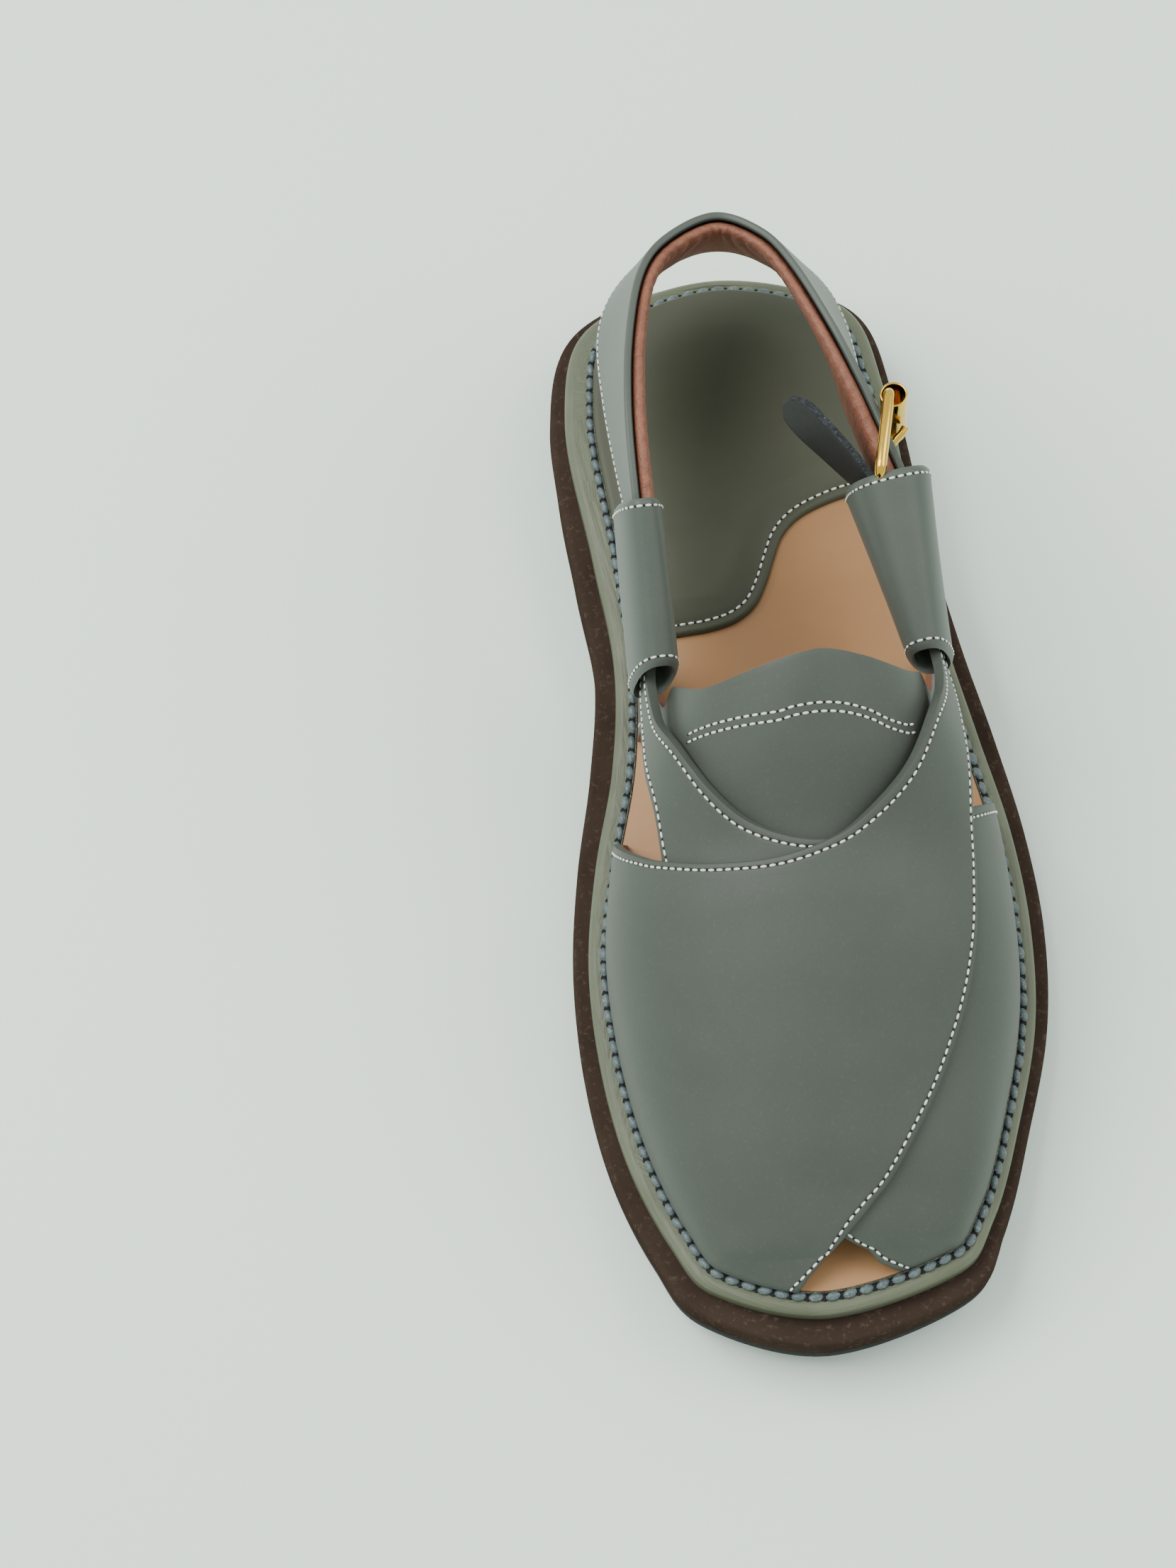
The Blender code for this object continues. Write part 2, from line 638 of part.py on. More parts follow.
class Sleeve:
    """Rolled sleeve between a strap's end and the heel strap."""

    def __init__(self, name, last, heel_strap):
        value = dict(zip(SLEEVE_COLUMNS, SLEEVES[name]))
        self.name = name
        station, around = value["station"], value["around"]
        lift = value["lift"] * STRAP_THICKNESS + STRAP_THICKNESS * 0.5
        self.front = last.point(station, around, lift)
        side = last.point(station, around, 0.001) - last.point(station, around, 0.0)
        side = side / np.linalg.norm(side)
        up = last.point(station, around + 0.02, 0.0) - last.point(station, around - 0.02, 0.0)
        self.front_axes = (side, up * np.sign(up[2]))
        rear_run = value["rear_run"]
        depth = BACK_STRAP_THICKNESS * 0.5 + value["rear_inset"]
        self.rear = heel_strap.point(rear_run, SLEEVE_REAR_DOWN, depth)
        side = heel_strap.point(rear_run, 0.5, 0.0) - heel_strap.point(rear_run, 0.5, 0.001)
        up = heel_strap.point(rear_run, 0.0) - heel_strap.point(rear_run, 1.0)
        self.rear_axes = (side, up)
        self.slant = value["slant"]
        self.front_size = (value["front_width"], value["front_height"])
        self.rear_size = (value["rear_width"], value["rear_height"])

    def axes(self, share):
        """Centre, side, up and half sizes at a share of the way from front to rear."""
        centre = self.front + (self.rear - self.front) * share
        run = self.rear - self.front
        run = run / np.linalg.norm(run)
        pair = []
        for first, last in zip(self.front_axes, self.rear_axes):
            first = first / np.linalg.norm(first)
            last = last / np.linalg.norm(last)
            pair.append(first + (last - first) * share)
        up = pair[1] - run * np.dot(pair[1], run)
        up = up / np.linalg.norm(up)
        side = pair[0] - run * np.dot(pair[0], run)
        side = side - up * np.dot(side, up)
        side = side / np.linalg.norm(side)
        size = [a + (b - a) * share for a, b in zip(self.front_size, self.rear_size)]
        return centre, side, up, size

    def ring(self, share, inset, count):
        """Ring round the sleeve, inside its outer face by inset."""
        centre, side, up, size = self.axes(share)
        ahead = self.front - self.rear
        slide = ahead / np.linalg.norm(ahead) * self.slant * (1.0 - share)
        power = 2.0 / SLEEVE_SQUARENESS
        points = []
        for k in range(count):
            turn = 2.0 * np.pi * k / count
            x = np.sign(np.cos(turn)) * abs(np.cos(turn)) ** power * (size[0] - inset)
            y = np.sign(np.sin(turn)) * abs(np.sin(turn)) ** power * (size[1] - inset)
            points.append(centre + side * x + up * y - slide * y)
        return points

    def build(self, finish, parts):
        """Tube with its wall, open at both ends."""
        shares = np.linspace(0.0, 1.0, SLEEVE_RINGS)
        rings = [self.ring(share, 0.0, SLEEVE_SIDES) for share in shares]
        rings += [self.ring(share, SLEEVE_WALL, SLEEVE_SIDES) for share in shares[::-1]]
        bm = bmesh.new()
        loops = [[bm.verts.new(point) for point in ring] for ring in rings]
        for low, high in zip(loops, loops[1:] + loops[:1]):
            for k in range(SLEEVE_SIDES):
                after = (k + 1) % SLEEVE_SIDES
                bm.faces.new((low[k], low[after], high[after], high[k]))
        return new_object(self.name, finish_mesh(bm, self.name), finish, parts)


def wire(name, points, radius, closed, finish, parts):
    """Round wire along points."""
    line = [Vector(point) for point in points]
    count = len(line)
    bm = bmesh.new()
    loops = []
    side = None
    for k, point in enumerate(line):
        before = line[k - 1] if k > 0 or closed else point
        after = line[(k + 1) % count] if k + 1 < count or closed else point
        run = (after - before).normalized()
        if side is None:
            side = run.orthogonal()
        side = (side - run * side.dot(run)).normalized()
        rise = run.cross(side)
        loops.append([bm.verts.new(point + (side * np.cos(turn) + rise * np.sin(turn)) * radius)
                      for turn in np.linspace(0.0, 2.0 * np.pi, WIRE_SIDES, endpoint=False)])
    pairs = list(zip(loops, loops[1:]))
    if closed:
        pairs.append((loops[-1], loops[0]))
    else:
        bm.faces.new(loops[0])
        bm.faces.new(loops[-1])
    for low, high in pairs:
        for k in range(WIRE_SIDES):
            after = (k + 1) % WIRE_SIDES
            bm.faces.new((low[k], low[after], high[after], high[k]))
    return new_object(name, finish_mesh(bm, name), finish, parts)


class Buckle:
    """Roller buckle that the heel strap runs through."""

    def __init__(self, strap):
        self.strap = strap
        middle = 0.5 * (ROLLER_RUN + FRONT_BAR_RUN)
        outward = strap.row(middle)[3]
        up = strap.point(middle, 0.0) - strap.point(middle, 1.0)
        self.up = up / np.linalg.norm(up)
        outside = ROLLER_RADIUS - ROLLER_WALL - WIRE_RADIUS - GAP
        self.rear = strap.point(ROLLER_RUN, 0.5, -(ROLLER_RADIUS + ROLLER_AIR) + outside)
        self.front = strap.point(FRONT_BAR_RUN, 0.5,
                                 BACK_STRAP_THICKNESS + WIRE_RADIUS + FRONT_BAR_AIR)
        run = self.front - self.rear
        run = run - self.up * np.dot(run, self.up)
        self.length = np.linalg.norm(run)
        self.run = run / self.length
        self.out = np.cross(self.up, self.run)
        if np.dot(self.out, outward) < 0.0:
            self.out = -self.out
        self.roller = self.rear + self.out * outside

    def frame(self, finish, parts):
        """Closed wire loop with round corners."""
        half = FRAME_WINDOW * 0.5 + WIRE_RADIUS
        corners = [(0.0, -half), (self.length, -half), (self.length, half), (0.0, half)]
        points = []
        for k, corner in enumerate(corners):
            before = np.array(corners[k - 1]) - np.array(corner)
            after = np.array(corners[(k + 1) % 4]) - np.array(corner)
            before = before / np.linalg.norm(before) * FRAME_CORNER
            after = after / np.linalg.norm(after) * FRAME_CORNER
            for step in range(4):
                turn = np.pi * 0.5 * step / 3.0
                flat = np.array(corner) + before * (1.0 - np.sin(turn)) + after * (1.0 - np.cos(turn))
                points.append(self.rear + self.run * flat[0] + self.up * flat[1])
        return wire("buckle_frame", points, WIRE_RADIUS, True, finish, parts)

    def rolled(self, finish, parts):
        """Tube on the rear bar."""
        half = FRAME_WINDOW * 0.5 - WIRE_RADIUS - GAP
        side = self.run
        rings = []
        for radius, ends in ((ROLLER_RADIUS, (-half, half)),
                             (ROLLER_RADIUS - ROLLER_WALL, (half, -half))):
            for rise in ends:
                rings.append([self.roller + self.up * rise
                              + (side * np.cos(turn) + self.out * np.sin(turn)) * radius
                              for turn in np.linspace(0.0, 2.0 * np.pi, ROLLER_SIDES, endpoint=False)])
        bm = bmesh.new()
        loops = [[bm.verts.new(point) for point in ring] for ring in rings]
        for low, high in zip(loops, loops[1:] + loops[:1]):
            for k in range(ROLLER_SIDES):
                after = (k + 1) % ROLLER_SIDES
                bm.faces.new((low[k], low[after], high[after], high[k]))
        name = "buckle_roller"
        return new_object(name, finish_mesh(bm, name), finish, parts)

    def prong_route(self):
        """Prong: up from the front bar, through the strap, and back over the roller."""
        inner = self.strap.point(PRONG_RUN, 0.5, BACK_STRAP_THICKNESS + PRONG_RADIUS)
        outer = self.strap.point(PRONG_RUN, 0.5, -PRONG_RADIUS)
        over = self.roller + self.out * (ROLLER_RADIUS + PRONG_RADIUS + GAP)
        near = outer + (over - outer) * 0.6 + self.out * GAP
        return [inner, inner + (outer - inner) * 0.5, outer, outer + (near - outer) * 0.5,
                near, over]

    def hole(self, collection):
        """Cutter for the prong's hole in the heel strap."""
        inner = Vector(self.strap.point(PRONG_RUN, 0.5, 2.0 * BACK_STRAP_THICKNESS))
        outer = Vector(self.strap.point(PRONG_RUN, 0.5, -BACK_STRAP_THICKNESS))
        bm = bmesh.new()
        bmesh.ops.create_cone(bm, cap_ends=True, segments=HOLE_SIDES, radius1=PRONG_HOLE,
                              radius2=PRONG_HOLE, depth=(outer - inner).length)
        turn = (outer - inner).to_track_quat("Z", "Y").to_matrix().to_4x4()
        turn.translation = (inner + outer) * 0.5
        bmesh.ops.transform(bm, matrix=turn, verts=bm.verts)
        mesh = finish_mesh(bm, "prong_hole")
        made = bpy.data.objects.new("prong_hole", mesh)
        collection.objects.link(made)
        return made

    def prong(self, finish, parts):
        """Prong of thinner wire."""
        route = spline(self.prong_route(), 12)
        return wire("buckle_prong", route, PRONG_RADIUS, False, finish, parts)


def billet(sleeve, finish, parts):
    """Tail of the buckle's tab, with a pointed end."""
    centre, side, up = sleeve.axes(1.0)[:3]
    run = np.cross(side, up)
    if run[1] < 0.0:
        run = -run
    fine = named(BILLET_COLUMNS, spline(BILLET, 61))
    shares = np.linspace(0.0, 1.0, 61)

    def place(u, v):
        at = {name: np.interp(u, shares, fine[name]) for name in BILLET_COLUMNS}
        middle = centre + run * (at["back"] * BILLET_LENGTH) - side * (at["inward"] * BILLET_LENGTH)
        edge = up + side * at["lean"]
        edge = edge / np.linalg.norm(edge)
        return middle + edge * (at["width"] * BILLET_WIDTH * (2.0 * v - 1.0)) + up * BILLET_RAISE

    return sheet("billet", place, 16, 4, BILLET_THICKNESS, finish, parts)


def main():
    """Build the shoe."""
    for old in list(bpy.data.objects):
        bpy.data.objects.remove(old)
    parts = bpy.data.collections.new("peshawari_chappal")
    cutters = bpy.data.collections.new("cutters")
    for made in (parts, cutters):
        bpy.context.scene.collection.children.link(made)

    sole_layers(parts)
    last = Last()
    heel_cover(parts)

    nubuck = material("upper_nubuck", (0.133, 0.152, 0.130), 0.7)
    upper = sheet("upper", strap_place(last, OVER_STRAP, False), 34, 14,
                  STRAP_THICKNESS, nubuck, parts)
    under = sheet("under_strap", strap_place(last, UNDER_STRAP, True), 30, 12,
                  STRAP_THICKNESS, nubuck, cutters)
    cut(upper, under, "UNION", "joined where they cross")

    sheet("tongue", tongue_place(last), 34, 5, TONGUE_THICKNESS, nubuck, parts)

    strap = HeelStrap()
    band = sheet("back_strap", lambda u, v: strap.point(u, v, BACK_STRAP_THICKNESS), 44, 5,
                 BACK_STRAP_THICKNESS, nubuck, parts)

    sleeves = {name: Sleeve(name, last, strap) for name in SLEEVES}
    for made in sleeves.values():
        made.build(nubuck, parts)

    brass = material("buckle_brass", (0.75, 0.52, 0.12), 0.22, 1.0)
    buckle = Buckle(strap)
    cut(band, buckle.hole(cutters), "DIFFERENCE", "prong hole")
    buckle.frame(brass, parts)
    buckle.rolled(brass, parts)
    buckle.prong(brass, parts)

    black = material("billet_leather", (0.022, 0.022, 0.024), 0.6)
    billet(sleeves["sleeve_lateral"], black, parts)


main()
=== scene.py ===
"""Peshawari chappal, left shoe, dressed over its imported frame.

Crossing nubuck straps over an instep panel, a padded heel strap held in rolled sleeves, a gilt
roller buckle, and a hand-sewn rand on a foam wedge and a rubber outsole.

Metres, +Z up, toe towards -Y, outer side of the foot towards +X, sole on z = 0.
"""
from __future__ import annotations

import logging
from collections.abc import Callable, Sequence
from dataclasses import dataclass, field
from enum import Enum

import bmesh
import bpy
import numpy as np
from mathutils import Matrix, Vector

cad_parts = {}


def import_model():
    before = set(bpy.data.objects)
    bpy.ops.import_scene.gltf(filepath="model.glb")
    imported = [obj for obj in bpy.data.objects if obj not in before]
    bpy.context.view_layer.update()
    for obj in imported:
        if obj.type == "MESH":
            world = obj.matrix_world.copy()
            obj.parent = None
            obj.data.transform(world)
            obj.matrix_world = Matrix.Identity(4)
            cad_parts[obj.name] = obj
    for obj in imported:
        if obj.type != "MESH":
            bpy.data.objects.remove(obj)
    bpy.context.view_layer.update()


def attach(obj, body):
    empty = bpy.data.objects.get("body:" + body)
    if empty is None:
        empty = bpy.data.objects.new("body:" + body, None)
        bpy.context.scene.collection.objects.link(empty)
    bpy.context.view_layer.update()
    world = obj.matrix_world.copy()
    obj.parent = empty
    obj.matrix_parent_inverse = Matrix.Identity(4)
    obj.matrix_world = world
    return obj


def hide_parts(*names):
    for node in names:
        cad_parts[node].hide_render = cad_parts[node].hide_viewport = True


LOG = logging.getLogger("chappal")
MM = 0.001
UP = np.array([0.0, 0.0, 1.0])

# Points that a spline lays between two of its knots
KNOT_STEPS = 24
# How far from a stitched edge a fold line reaches
EDGE_REACH_MM = 5.0
# Points closer than this are one
WELD = 0.01 * MM
# Way between the cuts that let a layer bend, and its ends that stay uncut
LAYER_CUT, LAYER_END = 6.0 * MM, 3.0 * MM
# Points of a ring on each side of a face's nearest one where its corners are looked for
CHART_REACH = 6
# Sockets of a Mix node that blends colours
MIX_A, MIX_B, MIX_COLOUR = 6, 7, 2
# The photograph's height and its camera's focal length in pixels, angles and place
PHOTO_PX = 2212.0
FOCAL_PX = 4923.0
CAMERA_TILT, CAMERA_ROLL = np.radians(-22.5), np.radians(-5.0)
CAMERA_SPOT = (-0.0512, -0.33405, 0.8347)

Array = np.ndarray
Place = Callable[[Array, Array], Array]
Height = Callable[[Array], Array]

# Plan of the sole, heel to toe: along as a share of the length, edges as shares of the width,
# seam margins as shares of the margin, rand as the share of the margin that it covers
PLAN_COLUMNS = ("along", "medial", "lateral", "medial_margin", "lateral_margin", "rand")
SOLE_PLAN = (
    (0.000, -0.062, -0.062, 0.85, 0.85, 0.62),
    (0.040, -0.367, 0.245, 1.10, 0.90, 0.62),
    (0.140, -0.449, 0.324, 1.28, 0.85, 0.62),
    (0.280, -0.424, 0.359, 1.28, 0.92, 0.52),
    (0.380, -0.399, 0.400, 1.12, 0.92, 0.45),
    (0.470, -0.426, 0.448, 1.24, 1.00, 0.45),
    (0.560, -0.472, 0.487, 1.12, 0.97, 0.50),
    (0.650, -0.499, 0.500, 0.95, 0.92, 0.50),
    (0.740, -0.495, 0.476, 1.00, 0.78, 0.50),
    (0.830, -0.459, 0.408, 1.06, 0.68, 0.50),
    (0.910, -0.386, 0.335, 1.04, 0.74, 0.46),
    (0.965, -0.296, 0.243, 1.12, 1.05, 0.42),
    (1.000, -0.050, -0.050, 1.24, 1.24, 0.38),
)

# Ridge of the last: station from heel to toe, height as a share of the instep's height, and how
# far the outer side falls in
LAST_RIDGE = (
    (0.36, 1.080, 0.20),
    (0.44, 1.060, 0.20),
    (0.50, 1.000, 0.15),
    (0.55, 0.895, 0.08),
    (0.60, 0.725, 0.03),
    (0.65, 0.645, 0.00),
    (0.69, 0.575, 0.00),
    (0.73, 0.487, 0.00),
    (0.77, 0.395, 0.00),
    (0.81, 0.306, 0.00),
    (0.845, 0.205, 0.00),
    (0.88, 0.110, 0.00),
    (0.94, 0.035, 0.00),
    (1.00, 0.000, 0.00),
)

# Straps from their seam to their sleeve: throat edge and toe edge as station and share round the
# last, and the lift of the inner face as a share of the strap's thickness
OVER_STRAP = (
    (0.539, 0.000, 0.974, 0.000, 0.20),
    (0.558, 0.072, 0.967, 0.300, 0.45),
    (0.580, 0.160, 0.930, 0.458, 0.60),
    (0.592, 0.210, 0.891, 0.490, 0.60),
    (0.603, 0.260, 0.870, 0.532, 0.60),
    (0.616, 0.346, 0.841, 0.606, 0.60),
    (0.620, 0.440, 0.786, 0.677, 0.60),
    (0.609, 0.524, 0.731, 0.714, 0.60),
    (0.590, 0.584, 0.677, 0.735, 0.60),
    (0.561, 0.654, 0.625, 0.747, 0.60),
    (0.524, 0.716, 0.575, 0.764, 0.40),
    (0.494, 0.778, 0.518, 0.814, -0.20),
    (0.466, 0.820, 0.474, 0.868, -0.50),
    (0.440, 0.822, 0.444, 0.872, -0.50),
)
UNDER_STRAP = (
    (0.534, 1.000, 0.936, 1.000, 0.00),
    (0.548, 0.920, 0.938, 0.815, 0.00),
    (0.566, 0.830, 0.925, 0.675, 0.00),
    (0.583, 0.740, 0.886, 0.561, 0.00),
    (0.598, 0.650, 0.850, 0.456, 0.00),
    (0.608, 0.560, 0.786, 0.392, 0.00),
    (0.609, 0.484, 0.720, 0.340, 0.00),
    (0.594, 0.404, 0.655, 0.294, 0.00),
    (0.566, 0.333, 0.608, 0.264, 0.00),
    (0.531, 0.270, 0.567, 0.236, 0.00),
    (0.500, 0.206, 0.527, 0.188, -0.10),
    (0.468, 0.172, 0.476, 0.134, 0.10),
    (0.444, 0.176, 0.448, 0.130, 0.10),
)

# Instep panel: share round the last, rear and front edge as stations, drop inside the last as a
# share of the panel's thickness
TONGUE = (
    (0.000, 0.400, 0.462, 0.00),
    (0.050, 0.415, 0.470, 0.40),
    (0.090, 0.448, 0.480, 1.50),
    (0.130, 0.474, 0.498, 2.35),
    (0.180, 0.474, 0.525, 2.35),
    (0.237, 0.487, 0.570, 1.80),
    (0.307, 0.501, 0.600, 1.36),
    (0.400, 0.502, 0.618, 1.32),
    (0.520, 0.497, 0.622, 1.32),
    (0.613, 0.497, 0.610, 1.32),
    (0.709, 0.495, 0.585, 1.50),
    (0.770, 0.484, 0.560, 2.20),
    (0.820, 0.472, 0.530, 3.00),
    (0.870, 0.472, 0.500, 3.00),
    (0.915, 0.450, 0.486, 2.20),
    (0.955, 0.425, 0.478, 0.90),
    (1.000, 0.410, 0.470, 0.00),
)

# Row of stitches across the instep panel, as station and share round the last
TONGUE_STITCHES = (
    (0.525, 0.273),
    (0.533, 0.423),
    (0.532, 0.467),
    (0.531, 0.513),
    (0.531, 0.564),
    (0.533, 0.612),
    (0.536, 0.645),
    (0.536, 0.679),
    (0.533, 0.699),
)

# Front edge of the heel cover: across as a share of the width, along as a share of the length
SOCK_FRONT = (
    (-0.292, 0.362),
    (-0.240, 0.365),
    (-0.190, 0.364),
    (-0.140, 0.362),
    (-0.085, 0.356),
    (-0.040, 0.343),
    (-0.010, 0.322),
    (0.012, 0.300),
    (0.035, 0.280),
    (0.075, 0.264),
    (0.140, 0.252),
    (0.210, 0.245),
    (0.262, 0.246),
)

# Heel strap from the medial sleeve round the heel: top edge across, along and up, width, and its
# lean outwards at the foot
BACK_STRAP = (
    (-0.288, 0.374, 0.880, 0.44, 0.04),
    (-0.294, 0.340, 0.945, 0.56, 0.05),
    (-0.293, 0.268, 1.000, 0.82, 0.10),
    (-0.274, 0.196, 1.000, 0.92, 0.20),
    (-0.235, 0.133, 0.975, 0.98, 0.32),
    (-0.170, 0.096, 0.945, 1.00, 0.40),
    (-0.064, 0.074, 0.918, 1.02, 0.45),
    (0.030, 0.096, 0.930, 1.02, 0.43),
    (0.088, 0.134, 0.948, 0.98, 0.40),
    (0.150, 0.195, 0.960, 0.88, 0.26),
    (0.196, 0.240, 0.930, 0.56, 0.12),
    (0.229, 0.275, 0.895, 0.44, 0.05),
    (0.262, 0.318, 0.872, 0.42, 0.03),
    (0.288, 0.352, 0.845, 0.40, 0.03),
)

# Tail of the buckle's tab: way back and way inwards as shares of its length, half width as a
# share of its width, and lean of its upper edge
BILLET = (
    (-0.42, 0.14, 0.44, 0.00),
    (-0.20, 0.19, 0.46, 0.05),
    (0.00, 0.27, 0.48, 0.15),
    (0.35, 0.46, 0.50, 0.28),
    (0.65, 0.64, 0.50, 0.36),
    (0.84, 0.74, 0.46, 0.38),
    (0.94, 0.79, 0.30, 0.38),
    (1.00, 0.82, 0.12, 0.38),
)

# Softboxes: name, place, width and power
LAMPS = (
    ("key_softbox", (-0.75, 0.25, 1.30), 1.0, 23.0),
    ("fill_softbox", (0.95, 0.05, 1.10), 1.0, 8.0),
)


class Slot(Enum):
    """Material slots of the record."""

    RUBBER = "outsole_rubber"
    FOAM = "midsole_brown"
    RAND = "rand_leather"
    TAN = "insole_tan"
    SOCK = "sock_leather"
    NUBUCK = "upper_nubuck"
    BRASS = "buckle_brass"
    BLACK = "billet_leather"


class Line(Enum):
    """Lines round the sole that a piece may follow."""

    EDGE = "edge"
    RAND = "rand"
    SEAM = "seam"


def smooth(share: Array | float) -> Array:
    """Ease from 0 to 1."""
    held = np.clip(share, 0.0, 1.0)
    return held * held * (3.0 - 2.0 * held)


def spline(points: Sequence[Sequence[float]], count: int, flat: int = 2) -> Array:
    """Smooth curve through points.

    Args:
        points: rows of coordinates and of values that follow them.
        count: how many points to return.
        flat: how many leading columns measure the run between points.

    Returns:
        Evenly spaced rows.
    """
    knots = np.array(points, dtype=float)
    padded = np.vstack([2 * knots[0] - knots[1], knots, 2 * knots[-1] - knots[-2]])
    pieces = []
    share = np.linspace(0.0, 1.0, KNOT_STEPS, endpoint=False)[:, None]
    for first in range(len(knots) - 1):
        p0, p1, p2, p3 = padded[first:first + 4]
        pieces.append(0.5 * (2 * p1 + (p2 - p0) * share
                             + (2 * p0 - 5 * p1 + 4 * p2 - p3) * share ** 2
                             + (3 * p1 - p0 - 3 * p2 + p3) * share ** 3))
    dense = np.vstack(pieces + [knots[-1:]])
    return resample(dense, count, flat)


def sample(at: Array, run: Array, rows: Array) -> Array:
    """Values of a table's rows between them.

    Args:
        at: where on the run the values are wanted.
        run: where each row lies, rising.
        rows: the table.

    Returns:
        One row for each wanted place.
    """
    return np.column_stack([np.interp(at, run, rows[:, k]) for k in range(rows.shape[1])])


def resample(line: Array, count: int, flat: int = 3) -> Array:
    """Evenly spaced rows along a polyline.

    Args:
        line: the polyline and values that follow it.
        count: how many rows to return.
        flat: how many leading columns measure the run between points.

    Returns:
        The rows.
    """
    steps = np.linalg.norm(np.diff(line[:, :flat], axis=0), axis=1)
    run = np.concatenate([[0.0], np.cumsum(steps)])
    return sample(np.linspace(0.0, run[-1], count), run, line)


def run_of(line: Array) -> float:
    """Length of a polyline."""
    return float(np.linalg.norm(np.diff(line[:, :3], axis=0), axis=1).sum())


def closed(ring: Array) -> Array:
    """Ring with its first point again at its end."""
    return np.vstack([ring, ring[:1]])


def pressed(wave: Array, power: float) -> Array:
    """Sine or cosine pressed outwards, so that an oval turns into a rounded box."""
    return np.sign(wave) * np.abs(wave) ** power


def unit(vectors: Array) -> Array:
    """Vectors of length 1."""
    size = np.linalg.norm(vectors, axis=-1, keepdims=True)
    return vectors / np.maximum(size, 1e-9)


def meshed(name: str, bm: bmesh.types.BMesh) -> bpy.types.Mesh:
    """Mesh of a finished bmesh, which is freed."""
    mesh = bpy.data.meshes.new(name)
    bm.to_mesh(mesh)
    bm.free()
    return mesh


def placed(name: str, data: bpy.types.ID) -> bpy.types.Object:
    """New object in the scene."""
    made = bpy.data.objects.new(name, data)
    bpy.context.scene.collection.objects.link(made)
    return made


def linear(code: str) -> tuple[float, float, float, float]:
    """Linear colour of an sRGB hex code."""
    shares = [int(code[k:k + 2], 16) / 255.0 for k in (1, 3, 5)]
    turned = [s / 12.92 if s <= 0.04045 else ((s + 0.055) / 1.055) ** 2.4 for s in shares]
    return (turned[0], turned[1], turned[2], 1.0)


def add(tree: bpy.types.NodeTree, kind: str, inputs: dict | None = None,
        **settings: object) -> bpy.types.Node:
    """Add a shader node.

    Args:
        tree: node tree of the material.
        kind: node type, without its ShaderNode prefix.
        inputs: socket name or number to a value or to the socket that feeds it.
        settings: properties of the node.

    Returns:
        The node.
    """
    made = tree.nodes.new("ShaderNode" + kind)
    for name, value in settings.items():
        setattr(made, name, value)
    for key, value in (inputs or {}).items():
        if isinstance(value, bpy.types.NodeSocket):
            tree.links.new(value, made.inputs[key])
        else:
            made.inputs[key].default_value = value
    return made


